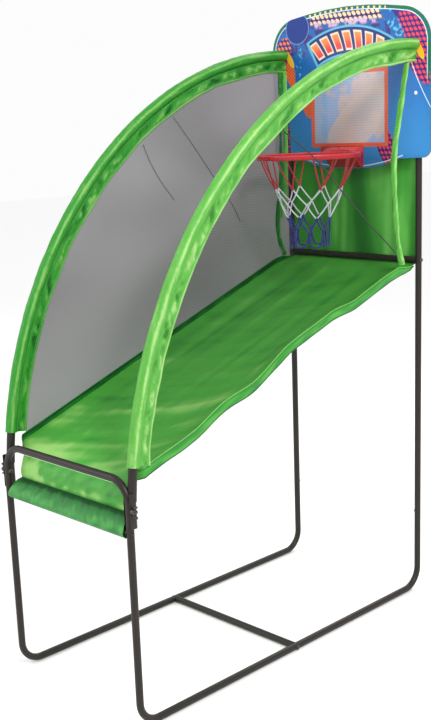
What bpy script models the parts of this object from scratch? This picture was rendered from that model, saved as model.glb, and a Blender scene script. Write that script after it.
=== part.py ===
"""Basketball hoop machine for children: a free-standing steel tube frame with two big arches,
a printed backboard with rim and net, mesh sides and a fabric ramp that rolls the ball back.

Metres, +Z up. +X is the player's right, the player stands at -Y and the board is at +Y.
The origin is on the floor, at the bottom centre of the bounding box.
"""

import math

import bmesh
import bpy
from mathutils import Vector

# ---- driving dimensions -------------------------------------------------------------------
GAP = 0.0003                     # clearance kept between separate pieces
TUBE_R = 0.008                   # 16 mm frame tube
ARCH_R = 0.0095                  # 19 mm lower arch tube
SPIGOT_R = 0.0065                # swaged end of a 16 mm tube
SPIGOT_BORE_R = 0.0045           # hollow of the swaged end, where a snap button sits
TUBE_RES = 4                     # bevel resolution: 12 sides
FLAT = math.cos(math.pi / 12)    # a 12-sided hole's flats are this share of its corner radius
TRACK = 0.416                    # left tube centre to right tube centre
FRAME_LENGTH = 0.966             # front legs to rear uprights
REAR_Y = 0.48285                 # rear uprights, so that the box is centred on the origin
BEND_R = 0.05                    # centre-line radius of the floor and gate bends
RAIL_Z = TUBE_R                  # floor rails lie on the floor

FRONT_SEAM_Z = 0.408             # front leg's swaged end enters the gate arm here
REAR_SEAM_Z = 0.188              # rear leg's swaged end enters the upright here
SPIGOT_LENGTH = 0.040
FRONT_BUTTON_Z = 0.428
REAR_BUTTON_Z = 0.208
BUTTON_R = 0.0028
BUTTON_TRAVEL = 0.003

GATE_TOP_Z = 0.534               # centre of the gate's top bar
LOWER_BAR_Z = 0.427
CROSSBAR_Z = 0.864
FLOOR_TUBE_BACK = 0.486          # floor cross tube, in front of the rear uprights

ARCH_RADIUS = 0.948              # each arch is a quarter circle
ARCH_CENTRE_BACK = 0.0115        # its centre, in front of the rear uprights
ARCH_CENTRE_Z = 0.430
ARCH_SPLIT = math.radians(46)    # where the 16 mm upper tube slips into the 19 mm lower tube
ARCH_OVERLAP = 0.045
SADDLE_BOTTOM_Z = 0.438          # open channel at the arch's foot, round the gate arm
SADDLE_TOP_Z = 0.512
WING_Z = 0.476

BOARD_HALF = 0.250
BOARD_THICK = 0.005
BOARD_SIDE_BOTTOM_Z = 1.113
BOARD_MID_BOTTOM_Z = 1.087
BOARD_SIDE_TOP_Z = 1.383
BOARD_CORNER_R = 0.085
BOARD_TOP_Z = 1.4825
BOARD_SCREW_Z = 1.265
ARCH_HOLE_R = 0.0103              # holes that the elbows pass through, under the sleeves' ends

RIM_R = 0.1275                   # outside radius of the ring
RIM_CENTRE_BACK = 0.1665
RIM_Z = 1.125
RIM_HEIGHT = 0.012
RIM_WIDTH = 0.011
NET_BOTTOM_Z = 0.906

SLEEVE_BOTTOM_Z = 0.567
SLEEVE_R = 0.0120
SLEEVE_INNER_RADIUS = 0.906      # inner edge of the sleeve's flat flange
FLANGE_THICK = 0.003
CLOTH = 0.0016

RAMP_REAR = (0.003, 0.854)       # ramp's rear edge: behind the uprights, height
RAMP_FRONT = (-0.938, 0.522)     # ramp's front edge, below the gate's top bar
RAMP_HALF = 0.2060
FLAP_HALF = 0.182                # the apron under the ramp's front edge
HEM_HALF = 0.1985                # the pocket at its foot, round the lower bar
HEM_STITCH = (-0.9480, 0.461)    # stitch line that closes the pocket

# ---- values worked out from them ----------------------------------------------------------
HALF = TRACK / 2
FRONT_Y = REAR_Y - FRAME_LENGTH
ARCH_Y = REAR_Y - ARCH_CENTRE_BACK
BOARD_BACK_Y = REAR_Y - TUBE_R - GAP
BOARD_FRONT_Y = BOARD_BACK_Y - BOARD_THICK
RIM_Y = REAR_Y - RIM_CENTRE_BACK
FLOOR_TUBE_Y = REAR_Y - FLOOR_TUBE_BACK
SIDES = (("left", -1), ("right", 1))

# (base colour, roughness, metallic)
FINISHES = {
    "frame_tube": ((0.045, 0.040, 0.038), 0.38, 0.0),
    "steel_fastener": ((0.10, 0.10, 0.10), 0.35, 0.9),
    "white_screw": ((0.85, 0.86, 0.88), 0.30, 0.0),
    "green_satin": ((0.12, 0.55, 0.08), 0.40, 0.0),
    "green_strap": ((0.20, 0.62, 0.12), 0.50, 0.0),
    "grey_mesh": ((0.25, 0.25, 0.26), 0.70, 0.0),
    "printed_board": ((0.06, 0.30, 0.62), 0.35, 0.0),
    "red_plastic": ((0.70, 0.03, 0.04), 0.30, 0.0),
    "net_cord": ((0.80, 0.80, 0.82), 0.60, 0.0),
    "black_plastic": ((0.03, 0.03, 0.03), 0.45, 0.0),
}


# ---- scene and materials ------------------------------------------------------------------
for old in list(bpy.data.objects):
    bpy.data.objects.remove(old)
PARTS = bpy.data.collections.new("basketball_hoop_machine")
CUTTERS = bpy.data.collections.new("cutters")
for collection in (PARTS, CUTTERS):
    bpy.context.scene.collection.children.link(collection)
CUTTERS.hide_render = True


def make_material(name):
    colour, roughness, metallic = FINISHES[name]
    material = bpy.data.materials.new(name)
    material.use_nodes = True
    shader = material.node_tree.nodes["Principled BSDF"]
    shader.inputs["Base Color"].default_value = (*colour, 1.0)
    shader.inputs["Roughness"].default_value = roughness
    shader.inputs["Metallic"].default_value = metallic
    return material


MATERIALS = {name: make_material(name) for name in FINISHES}


# ---- shape helpers ------------------------------------------------------------------------
def place(obj, finish):
    """Put an object among the parts with its finish, or among the cutters when finish is None."""
    if finish is None:
        CUTTERS.objects.link(obj)
        obj.hide_render = True
        obj.display_type = "WIRE"
        return obj
    PARTS.objects.link(obj)
    obj.data.materials.clear()
    obj.data.materials.append(MATERIALS[finish])
    if obj.type == "MESH":
        obj.data.shade_smooth()
        obj.data.set_sharp_from_angle(angle=math.radians(35))
    return obj


def tube(name, path, radius, finish, resolution=TUBE_RES):
    """A round tube or rod along a path, as a closed mesh."""
    curve = bpy.data.curves.new(name, "CURVE")
    curve.dimensions = "3D"
    curve.bevel_depth = radius
    curve.bevel_resolution = resolution
    curve.use_fill_caps = True
    spline = curve.splines.new("POLY")
    spline.points.add(len(path) - 1)
    for point, place_at in zip(spline.points, path):
        point.co = (*place_at, 1.0)
    guide = bpy.data.objects.new(name + "_guide", curve)
    bpy.context.scene.collection.objects.link(guide)
    graph = bpy.context.evaluated_depsgraph_get()
    mesh = bpy.data.meshes.new_from_object(guide.evaluated_get(graph))
    bpy.data.objects.remove(guide)
    shape = bmesh.new()
    shape.from_mesh(mesh)
    bmesh.ops.remove_doubles(shape, verts=shape.verts, dist=0.00001)
    bmesh.ops.recalc_face_normals(shape, faces=shape.faces)
    shape.to_mesh(mesh)
    shape.free()
    mesh.name = name
    return place(bpy.data.objects.new(name, mesh), finish)


def box(name, low, high, finish):
    """A block between two corners."""
    shape = bmesh.new()
    bmesh.ops.create_cube(shape, size=1.0)
    low, high = Vector(low), Vector(high)
    for vert in shape.verts:
        vert.co = Vector((v + 0.5) * (h - l) + l for v, l, h in zip(vert.co, low, high))
    mesh = bpy.data.meshes.new(name)
    shape.to_mesh(mesh)
    shape.free()
    return place(bpy.data.objects.new(name, mesh), finish)


def turned(name, profile, centre, finish, axis="Z", steps=20):
    """A turned piece: the profile's (radius, height) points go round the axis through centre."""
    mesh = bpy.data.meshes.new(name)
    points = [(radius, 0.0, height) for radius, height in profile]
    mesh.from_pydata(points, [(i, i + 1) for i in range(len(points) - 1)], [])
    obj = place(bpy.data.objects.new(name, mesh), finish)
    screw = obj.modifiers.new("turn", "SCREW")
    screw.steps = steps
    screw.render_steps = steps
    screw.use_merge_vertices = True
    screw.merge_threshold = 0.00001
    obj.location = centre
    turns = {"Z": (0, 0, 0), "X": (0, math.pi / 2, 0), "-X": (0, -math.pi / 2, 0),
             "Y": (-math.pi / 2, 0, 0), "-Y": (math.pi / 2, 0, 0)}
    obj.rotation_euler = turns[axis]
    return obj


def plate(name, outline, thick, middle, plane, finish):
    """A flat plate: outline in its plane ("XZ" or "YZ"), centred on `middle` across the plane."""
    mesh = bpy.data.meshes.new(name)
    shape = bmesh.new()
    for side in (-1, 1):
        across = middle + side * thick / 2
        for first, second in outline:
            at = (first, across, second) if plane == "XZ" else (across, first, second)
            shape.verts.new(at)
    shape.verts.ensure_lookup_table()
    count = len(outline)
    near, far = shape.verts[:count], shape.verts[count:]
    shape.faces.new(near)
    shape.faces.new(far)
    for i in range(count):
        j = (i + 1) % count
        shape.faces.new((near[i], near[j], far[j], far[i]))
    bmesh.ops.recalc_face_normals(shape, faces=shape.faces)
    shape.to_mesh(mesh)
    shape.free()
    return place(bpy.data.objects.new(name, mesh), finish)


def ribbon(name, path, width, thick, finish):
    """A flat strip: path is (x, y, z) of its middle, its width runs along Y, its thickness along X."""
    shape = bmesh.new()
    rows = [[shape.verts.new((x, y + side * width / 2, z)) for side in (-1, 1)] for x, y, z in path]
    for lower, upper in zip(rows, rows[1:]):
        shape.faces.new((lower[0], lower[1], upper[1], upper[0]))
    mesh = bpy.data.meshes.new(name)
    shape.to_mesh(mesh)
    shape.free()
    obj = place(bpy.data.objects.new(name, mesh), finish)
    wall = obj.modifiers.new("cloth", "SOLIDIFY")
    wall.thickness = thick
    wall.offset = 0.0
    return obj


def combine(obj, other, operation):
    """Cut `other` from obj, or join it on. The helper stays among the cutters."""
    step = obj.modifiers.new(operation.lower(), "BOOLEAN")
    step.operation = operation
    step.object = other
    return obj


def cut(obj, *others):
    for other in others:
        combine(obj, other, "DIFFERENCE")
    return obj


def join(obj, *others):
    for other in others:
        combine(obj, other, "UNION")
    return obj


def rounded(corners, radius, steps=6):
    """A path through corners, each inner corner replaced by an arc of the given radius."""
    corners = [Vector(c) for c in corners]
    path = [corners[0]]
    for before, corner, after in zip(corners, corners[1:], corners[2:]):
        back = (before - corner).normalized()
        ahead = (after - corner).normalized()
        half = back.angle(ahead) / 2
        middle = corner + (back + ahead).normalized() * radius / math.sin(half)
        start = corner + back * radius / math.tan(half) - middle
        end = corner + ahead * radius / math.tan(half) - middle
        sweep = start.angle(end)
        for i in range(steps + 1):
            t = i / steps
            turn = (start * math.sin((1 - t) * sweep) + end * math.sin(t * sweep)) / math.sin(sweep)
            path.append(middle + turn)
    path.append(corners[-1])
    return path


def arch_point(angle, radius=ARCH_RADIUS):
    """(y, z) on the arch's circle. The angle is 0 at its foot and a quarter turn at the board."""
    return ARCH_Y - radius * math.cos(angle), ARCH_CENTRE_Z + radius * math.sin(angle)


def arch_path(side, start, end, steps, radius=ARCH_RADIUS):
    angles = [start + (end - start) * i / steps for i in range(steps + 1)]
    return [(side * HALF, *arch_point(angle, radius)) for angle in angles]


def room(radius):
    """Corner radius of a 12-sided hole that clears a round piece of this radius."""
    return (radius + GAP) / FLAT


def rod_x(name, x0, x1, y, z, radius, finish=None, resolution=TUBE_RES):
    return tube(name, [(x0, y, z), (x1, y, z)], radius, finish, resolution)


def rod_z(name, x, y, z0, z1, radius, finish=None, resolution=TUBE_RES):
    return tube(name, [(x, y, z0), (x, y, z1)], radius, finish, resolution)


# ---- floor frames: front leg, floor rail and rear leg bent from one tube --------------------
def floor_frame(name, side):
    x = side * HALF
    path = rounded([(x, FRONT_Y, FRONT_SEAM_Z - GAP), (x, FRONT_Y, RAIL_Z),
                    (x, REAR_Y, RAIL_Z), (x, REAR_Y, REAR_SEAM_Z - GAP)], BEND_R)
    frame = tube(name, path, TUBE_R, "frame_tube")
    ends = ((FRONT_Y, FRONT_SEAM_Z, FRONT_BUTTON_Z, side), (REAR_Y, REAR_SEAM_Z, REAR_BUTTON_Z, -side))
    for y, seam, button, outwards in ends:
        top = seam + SPIGOT_LENGTH
        join(frame, rod_z(name + "_spigot", x, y, seam - 0.010, top, SPIGOT_R))
        cut(frame, rod_z(name + "_hollow", x, y, seam + 0.002, top + 0.002, SPIGOT_BORE_R),
            rod_x(name + "_button_hole", x, x + outwards * 0.012, y, button, room(BUTTON_R)))
    cut(frame, rod_x(name + "_bolt_hole", x - 0.02, x + 0.02, FLOOR_TUBE_Y, RAIL_Z, 0.0028))
    return frame


# ---- front gate: the bent hoop that joins the two front legs, and the bar in the hem --------
def gate_path():
    return rounded([(-HALF, FRONT_Y, FRONT_SEAM_Z), (-HALF, FRONT_Y, GATE_TOP_Z),
                    (HALF, FRONT_Y, GATE_TOP_Z), (HALF, FRONT_Y, FRONT_SEAM_Z)], BEND_R)


def gate_hoop():
    hoop = tube("front_gate_hoop", gate_path(), TUBE_R, "frame_tube")
    for name, side in SIDES:
        x = side * HALF
        cut(hoop,
            rod_z(name + "_arm_bore", x, FRONT_Y, FRONT_SEAM_Z - 0.002,
                  FRONT_SEAM_Z + SPIGOT_LENGTH + 0.003, room(SPIGOT_R)),
            rod_x(name + "_arm_button_hole", x, x + side * 0.012, FRONT_Y, FRONT_BUTTON_Z, room(BUTTON_R)),
            rod_x(name + "_arm_bolt_hole", x - 0.012, x + 0.012, FRONT_Y, WING_Z, 0.0034))
    return hoop


def lower_bar():
    bar = rod_x("front_lower_bar", -HALF, HALF, FRONT_Y, LOWER_BAR_Z, TUBE_R, "frame_tube")
    for name, side in SIDES:
        cut(bar, rod_z(name + "_arm_cope", side * HALF, FRONT_Y, LOWER_BAR_Z - 0.02,
                       LOWER_BAR_Z + 0.02, room(TUBE_R)))
    return bar


# ---- rear uprights, crossbars ---------------------------------------------------------------
def upright(name, side):
    x = side * HALF
    post = rod_z(name, x, REAR_Y, REAR_SEAM_Z, ELBOW_LOW_Z, TUBE_R, "frame_tube")
    return cut(post,
               rod_z(name + "_bore", x, REAR_Y, REAR_SEAM_Z - 0.002,
                     REAR_SEAM_Z + SPIGOT_LENGTH + 0.003, room(SPIGOT_R)),
               rod_x(name + "_button_hole", x, x - side * 0.012, REAR_Y, REAR_BUTTON_Z, room(BUTTON_R)),
               rod_z(name + "_elbow_bore", x, REAR_Y, ELBOW_LOW_Z - 0.028, ELBOW_LOW_Z + 0.002,
                     room(SPIGOT_R)),
               rod_x(name + "_bolt_hole", x - 0.012, x + 0.012, REAR_Y, CROSSBAR_Z, 0.0028),
               tube(name + "_screw_hole", [(x, REAR_Y - 0.02, BOARD_SCREW_Z), (x, REAR_Y + 0.02, BOARD_SCREW_Z)],
                    0.0026, None))


def cross_tube(name, y, z):
    """A straight tube between the two sides, its ends shaped to the round of the side tubes."""
    bar = rod_x(name, -HALF, HALF, y, z, TUBE_R, "frame_tube")
    for side_name, side in SIDES:
        x = side * HALF
        if z > RAIL_Z:
            cope = [(x, y, z - 0.02), (x, y, z + 0.02)]
        else:
            cope = [(x, y - 0.02, z), (x, y + 0.02, z)]
        cut(bar, tube(name + "_cope", cope, room(TUBE_R), None),
            rod_x(name + "_thread", x - side * 0.036, x, y, z, 0.0028))
    return bar


def cross_bolt(name, side, y, z):
    """Round-headed bolt through a side tube into the cross tube's end."""
    head, shank = 0.0052, 0.0025
    profile = [(0.0, 0.0035), (0.0030, 0.0031), (0.0046, 0.0020), (head, 0.0), (shank, 0.0),
               (shank, -0.041), (0.0, -0.041)]
    start = side * (HALF + TUBE_R + GAP)
    return turned(name, profile, (start, y, z), "steel_fastener", "X" if side > 0 else "-X", 14)


# ---- arches ---------------------------------------------------------------------------------
def arch_lower(name, side):
    x = side * HALF
    foot = math.asin((SADDLE_TOP_Z - 0.02 - ARCH_CENTRE_Z) / ARCH_RADIUS)
    arch = tube(name, arch_path(side, foot, ARCH_SPLIT, 12), ARCH_R, "frame_tube")
    foot_y = arch_point(math.asin((SADDLE_BOTTOM_Z - ARCH_CENTRE_Z) / ARCH_RADIUS))[0]
    back = rod_z(name + "_channel_back", x, foot_y, SADDLE_BOTTOM_Z, SADDLE_TOP_Z, ARCH_R)
    cheeks = box(name + "_channel_cheeks", (x - ARCH_R, FRONT_Y - 0.0065, SADDLE_BOTTOM_Z),
                 (x + ARCH_R, foot_y, SADDLE_TOP_Z), None)
    slot = room(TUBE_R)
    join(arch, back, cheeks)
    cut(arch, tube(name + "_arm_room", gate_path(), slot, None),
        box(name + "_channel_mouth", (x - slot, FRONT_Y - 0.02, SADDLE_BOTTOM_Z - 0.01),
            (x + slot, FRONT_Y, GATE_TOP_Z + 0.02), None),
        rod_x(name + "_bolt_hole", x - 0.015, x + 0.015, FRONT_Y, WING_Z, 0.0034),
        tube(name + "_socket", arch_path(side, ARCH_SPLIT - ARCH_OVERLAP / ARCH_RADIUS - 0.003,
                                         ARCH_SPLIT + 0.003, 4), room(TUBE_R), None))
    return arch


def arch_upper(name, side):
    start = ARCH_SPLIT - ARCH_OVERLAP / ARCH_RADIUS
    end = math.asin((ELBOW_FRONT_Y - ARCH_Y) / ARCH_RADIUS) + math.pi / 2
    arch = tube(name, arch_path(side, start, end, 14), TUBE_R, "frame_tube")
    spigot = tube(name + "_bore", [(side * HALF, ELBOW_FRONT_Y - 0.028, ELBOW_Z),
                                   (side * HALF, ELBOW_FRONT_Y + 0.004, ELBOW_Z)],
                  room(SPIGOT_R), None)
    return cut(arch, spigot)


# ---- elbow plugs behind the board: they join each arch to its upright ------------------------
ELBOW_Z = arch_point(math.pi / 2)[1]
ELBOW_BEND = 0.014
ELBOW_LOW_Z = ELBOW_Z - ELBOW_BEND
ELBOW_FRONT_Y = BOARD_FRONT_Y - GAP


def elbow(name, side):
    x = side * HALF
    body = rounded([(x, ELBOW_FRONT_Y + GAP, ELBOW_Z), (x, REAR_Y, ELBOW_Z), (x, REAR_Y, ELBOW_LOW_Z + GAP)],
                   ELBOW_BEND - 0.003, 5)
    piece = tube(name, body, TUBE_R, "black_plastic")
    join(piece,
         tube(name + "_front_plug", [(x, ELBOW_FRONT_Y - 0.024, ELBOW_Z), (x, ELBOW_FRONT_Y + 0.004, ELBOW_Z)],
              SPIGOT_R, None),
         rod_z(name + "_lower_plug", x, REAR_Y, ELBOW_LOW_Z - 0.024, ELBOW_LOW_Z + 0.004, SPIGOT_R))
    return piece


# ---- fasteners at the front joints ------------------------------------------------------------
WING_SEAT = HALF + ARCH_R + GAP


def wing_bolt(name, side):
    head, shank = 0.0055, 0.0030
    inner = 2 * ARCH_R + 2 * GAP
    profile = [(0.0, 0.0036), (0.0036, 0.0032), (head, 0.0012), (head, 0.0), (shank, 0.0),
               (shank, -inner - 0.013), (0.0, -inner - 0.013)]
    start = side * (HALF - ARCH_R - GAP)
    return turned(name, profile, (start, FRONT_Y, WING_Z), "steel_fastener", "-X" if side > 0 else "X", 16)


def wing_nut(name, side):
    """Hub with a threaded hole and two ears, turning on the bolt's axis."""
    bore, hub, length = 0.0034, 0.0060, 0.0105
    profile = [(bore, length), (hub - 0.001, length), (hub, 0.005), (hub, 0.0), (bore, 0.0), (bore, length)]
    nut = turned(name, profile, (side * WING_SEAT, FRONT_Y, WING_Z), "steel_fastener",
                 "X" if side > 0 else "-X", 16)
    low = side * (WING_SEAT + 0.003)
    for ear in (-1, 1):
        path = [(low, FRONT_Y + 0.0005, WING_Z + ear * 0.0064),
                (low + side * 0.0065, FRONT_Y + 0.0005, WING_Z + ear * 0.0088),
                (low + side * 0.0135, FRONT_Y + 0.0005, WING_Z + ear * 0.0110)]
        join(nut, tube(name + "_ear", path, 0.0026, None, 2))
    return nut


def snap_button(name, x, y, z, outwards):
    """Spring button: a round pin through both tube walls, with a collar inside the swaged end."""
    reach = TUBE_R + BUTTON_TRAVEL
    collar = 0.0020
    profile = [(0.0, reach), (BUTTON_R * 0.7, reach - 0.0003), (BUTTON_R, reach - 0.0012),
               (BUTTON_R, collar), (0.0034, collar), (0.0034, collar - 0.0014), (0.0, collar - 0.0014)]
    return turned(name, profile, (x, y, z), "steel_fastener", "X" if outwards > 0 else "-X", 12)


# ---- backboard, rim and net --------------------------------------------------------------------
def board_outline():
    """Half of the outline from the bottom centre up the right side, then mirrored."""
    points = [(0.0, BOARD_MID_BOTTOM_Z), (0.070, BOARD_MID_BOTTOM_Z + 0.002),
              (0.115, BOARD_MID_BOTTOM_Z + 0.010), (0.160, BOARD_SIDE_BOTTOM_Z - 0.002)]
    low_r = 0.022
    for i in range(5):
        angle = math.radians(-90 + 22.5 * i)
        points.append((BOARD_HALF - low_r + low_r * math.cos(angle),
                       BOARD_SIDE_BOTTOM_Z + low_r + low_r * math.sin(angle)))
    for i in range(9):
        angle = math.radians(84 / 8 * i)
        points.append((BOARD_HALF - BOARD_CORNER_R + BOARD_CORNER_R * math.cos(angle),
                       BOARD_SIDE_TOP_Z + BOARD_CORNER_R * math.sin(angle)))
    points += [(0.125, BOARD_TOP_Z - 0.0080), (0.065, BOARD_TOP_Z - 0.0022)]
    left = [(-x, z) for x, z in reversed(points[1:])]
    return points + [(0.0, BOARD_TOP_Z)] + left


def backboard():
    board = plate("backboard", board_outline(), BOARD_THICK, (BOARD_FRONT_Y + BOARD_BACK_Y) / 2, "XZ",
                  "printed_board")
    for name, side in SIDES:
        x = side * HALF
        cut(board,
            tube(name + "_arch_hole", [(x, BOARD_FRONT_Y - 0.01, ELBOW_Z), (x, BOARD_BACK_Y + 0.01, ELBOW_Z)],
                 ARCH_HOLE_R, None),
            tube(name + "_board_screw_hole", [(x, BOARD_FRONT_Y - 0.01, BOARD_SCREW_Z),
                                              (x, BOARD_BACK_Y + 0.01, BOARD_SCREW_Z)], 0.0026, None),
            tube(name + "_rim_screw_hole", [(side * RIM_SCREW_X, BOARD_FRONT_Y - 0.01, RIM_SCREW_Z),
                                            (side * RIM_SCREW_X, BOARD_BACK_Y + 0.01, RIM_SCREW_Z)],
                 0.0024, None))
    return board


def board_screw(name, side):
    profile = [(0.0, 0.0022), (0.0026, 0.0019), (0.0045, 0.0006), (0.0045, 0.0), (0.0022, 0.0),
               (0.0022, -0.0205), (0.0, -0.0205)]
    return turned(name, profile, (side * HALF, BOARD_FRONT_Y - GAP, BOARD_SCREW_Z), "white_screw", "-Y", 14)


RIM_SCREW_X = 0.034
RIM_SCREW_Z = 1.106
RIM_ARM_HALF = 0.050
RIM_ARM_LOW_Z = 1.090
RIM_ARM_TOP_Z = 1.142


def rim():
    """One moulding: the ring and the wedge that carries it on the board."""
    low, high = -RIM_HEIGHT / 2, RIM_HEIGHT / 2
    inner, soft = RIM_R - RIM_WIDTH, 0.002
    profile = [(inner, low + soft), (inner, high - soft), (inner + soft, high), (RIM_R - soft, high),
               (RIM_R, high - soft), (RIM_R, low + soft), (RIM_R - soft, low), (inner + soft, low),
               (inner, low + soft)]
    ring = turned("rim", profile, (0.0, RIM_Y, RIM_Z), "red_plastic", "Z", 36)
    board_y = BOARD_FRONT_Y - GAP
    side_reach = RIM_Y + math.sqrt((RIM_R - RIM_WIDTH / 2) ** 2 - RIM_ARM_HALF ** 2)
    ring_back = RIM_Y + RIM_R
    arm = plate("rim_arm", [(side_reach, RIM_Z + high - 0.0015), (ring_back, RIM_ARM_TOP_Z),
                            (board_y, RIM_ARM_TOP_Z), (board_y, RIM_ARM_LOW_Z),
                            (board_y - 0.008, RIM_ARM_LOW_Z), (side_reach, RIM_Z + low + 0.0015)],
                2 * RIM_ARM_HALF, 0.0, "YZ", None)
    reach = inner + RIM_WIDTH / 2
    hollow = turned("rim_hollow", [(0.0, 0.05), (reach, 0.05), (reach, -0.05), (0.0, -0.05)],
                    (0.0, RIM_Y, RIM_Z), None, "Z", 36)
    cut(arm, hollow)
    join(ring, arm)
    for side in (-1, 1):
        x = side * RIM_SCREW_X
        cut(ring, tube("rim_screw_hole", [(x, board_y - 0.012, RIM_SCREW_Z), (x, board_y + 0.004, RIM_SCREW_Z)],
                       0.0020, None))
    return ring


def rim_screw(name, side):
    """Driven from behind the board into the rim's flange."""
    profile = [(0.0, 0.0024), (0.0024, 0.0020), (0.0042, 0.0006), (0.0042, 0.0), (0.0017, 0.0),
               (0.0017, -0.0165), (0.0, -0.0165)]
    return turned(name, profile, (side * RIM_SCREW_X, BOARD_BACK_Y + GAP, RIM_SCREW_Z), "steel_fastener", "Y", 12)


def net():
    """The net's outer shape: an open tapering tube hanging inside the ring."""
    top, bottom, wall = RIM_Z - RIM_HEIGHT / 2 - GAP, NET_BOTTOM_Z, 0.0018
    outer = [(0.1190, top), (0.0880, 1.048), (0.0570, 0.978), (0.0500, bottom)]
    inner = [(radius - wall, height) for radius, height in reversed(outer)]
    profile = [(radius, height - RIM_Z) for radius, height in outer + inner + outer[:1]]
    return turned("net", profile, (0.0, RIM_Y, RIM_Z), "net_cord", "Z", 24)


# ---- soft goods ----------------------------------------------------------------------------------
def sleeve(name, side):
    """Satin pocket over an arch tube, with its flat flange on the inner side of the curve."""
    x = side * HALF
    start = math.asin((SLEEVE_BOTTOM_Z - ARCH_CENTRE_Z) / ARCH_RADIUS)
    end = math.asin((ELBOW_FRONT_Y - 0.0015 - ARCH_Y) / ARCH_RADIUS) + math.pi / 2
    steps = 22
    angles = [start + (end - start) * i / steps for i in range(steps + 1)]
    pocket = tube(name, arch_path(side, start, end, steps), SLEEVE_R, "green_satin", 3)
    band = [arch_point(angle, ARCH_RADIUS - SLEEVE_R * 0.8) for angle in angles]
    band += [arch_point(angle, SLEEVE_INNER_RADIUS) for angle in reversed(angles)]
    join(pocket, plate(name + "_flange", band, FLANGE_THICK, x, "YZ", None))
    lower_room = arch_path(side, start - 0.01, ARCH_SPLIT + 0.0006, 14)
    upper_room = arch_path(side, ARCH_SPLIT - 0.001, end + 0.01, 16)
    return cut(pocket, tube(name + "_lower_room", lower_room, room(ARCH_R), None),
               tube(name + "_upper_room", upper_room, room(TUBE_R), None))


def ramp_z(y):
    """Height of the ramp's middle surface at y."""
    (back_0, z_0), (back_1, z_1) = RAMP_REAR, RAMP_FRONT
    share = (y - REAR_Y - back_0) / (back_1 - back_0)
    return z_0 + (z_1 - z_0) * share


STRAP_PATHS = {                   # (in front of the uprights, height) from the arch down to the ramp
    "left": [(0.030, 1.314), (0.034, 1.180), (0.038, 1.060), (0.060, 0.920), (0.052, 0.858)],
    "right": [(0.040, 1.314), (0.073, 1.227), (0.097, 1.112), (0.090, 0.993), (0.077, 0.846)],
}
STRAP_WIDTH = 0.012


def side_mesh(name, side):
    """Net panel of one side: inside the arch, above the ramp, in front of the rear strap."""
    radius = SLEEVE_INNER_RADIUS - 3 * GAP
    strap = [(REAR_Y - back - STRAP_WIDTH / 2 - GAP, z) for back, z in STRAP_PATHS[name.split("_")[0]]]
    start = math.radians(7.2)
    outline = [arch_point(start + (math.radians(86.0) - start) * i / 18, radius) for i in range(19)]
    edge = [(y, z) for y, z in strap if z < 1.30]
    edge[-1] = (edge[-1][0], ramp_z(edge[-1][0]) + 0.004)
    outline = [point for point in outline if point[0] < strap[0][0]] + edge
    first = outline[0]
    outline.append((first[0] + 0.012, ramp_z(first[0] + 0.012) + 0.004))
    return plate(name, outline, CLOTH, side * HALF, "YZ", "grey_mesh")


def rear_strap(name, side):
    path = [(side * HALF, REAR_Y - back, z) for back, z in STRAP_PATHS[name.split("_")[0]]]
    return ribbon(name, path, STRAP_WIDTH, CLOTH, "green_strap")


def ramp():
    """Sloping satin sheet the ball rolls down."""
    rear_y, front_y = REAR_Y + RAMP_REAR[0], REAR_Y + RAMP_FRONT[0]
    taper_y = front_y + 0.060
    rows = ((rear_y, TRACK / 2 - TUBE_R - 0.001), (REAR_Y - 0.016, TRACK / 2 - TUBE_R - 0.001),
            (REAR_Y - 0.040, RAMP_HALF), (taper_y, RAMP_HALF), (front_y, FLAP_HALF))
    shape = bmesh.new()
    lines = [[shape.verts.new((side * half, y, ramp_z(y))) for side in (-1, 1)] for y, half in rows]
    for near, far in zip(lines, lines[1:]):
        shape.faces.new((near[0], near[1], far[1], far[0]))
    mesh = bpy.data.meshes.new("ramp")
    shape.to_mesh(mesh)
    shape.free()
    obj = place(bpy.data.objects.new("ramp", mesh), "green_satin")
    wall = obj.modifiers.new("cloth", "SOLIDIFY")
    wall.thickness = CLOTH
    wall.offset = 0.0
    return obj


def front_hem():
    """Apron that hangs from the ramp's front edge, with a pocket at its foot round the lower bar."""
    pocket_r = TUBE_R + 0.0020
    stitch_y, stitch_z = REAR_Y + HEM_STITCH[0], HEM_STITCH[1]
    top_y, top_z = REAR_Y + RAMP_FRONT[0], RAMP_FRONT[1]
    pocket = rod_x("front_hem", -HEM_HALF, HEM_HALF, FRONT_Y, LOWER_BAR_Z, pocket_r, "green_satin")
    wedge = plate("hem_wedge", [(FRONT_Y - pocket_r * 0.96, LOWER_BAR_Z + 0.001),
                                (FRONT_Y + pocket_r * 0.96, LOWER_BAR_Z + 0.001),
                                (stitch_y + CLOTH, stitch_z), (stitch_y - CLOTH, stitch_z)],
                  2 * HEM_HALF, 0.0, "YZ", None)
    flap = plate("hem_flap", [(stitch_y, stitch_z - 0.004), (stitch_y + CLOTH, stitch_z - 0.004),
                              (top_y - 0.0016, top_z - 0.003), (top_y - 0.0032, top_z - 0.003)],
                 2 * FLAP_HALF, 0.0, "YZ", None)
    join(pocket, wedge, flap)
    return cut(pocket, rod_x("hem_room", -HALF, HALF, FRONT_Y, LOWER_BAR_Z, room(TUBE_R)))


def back_panel():
    """Satin panel that closes the space behind the net, below and behind the board."""
    y = REAR_Y + TUBE_R + 0.0015
    half = HALF - TUBE_R - 0.001
    return box("back_panel", (-half, y - CLOTH / 2, RAMP_REAR[1] - 0.002), (half, y + CLOTH / 2, 1.150),
               "green_satin")


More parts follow.
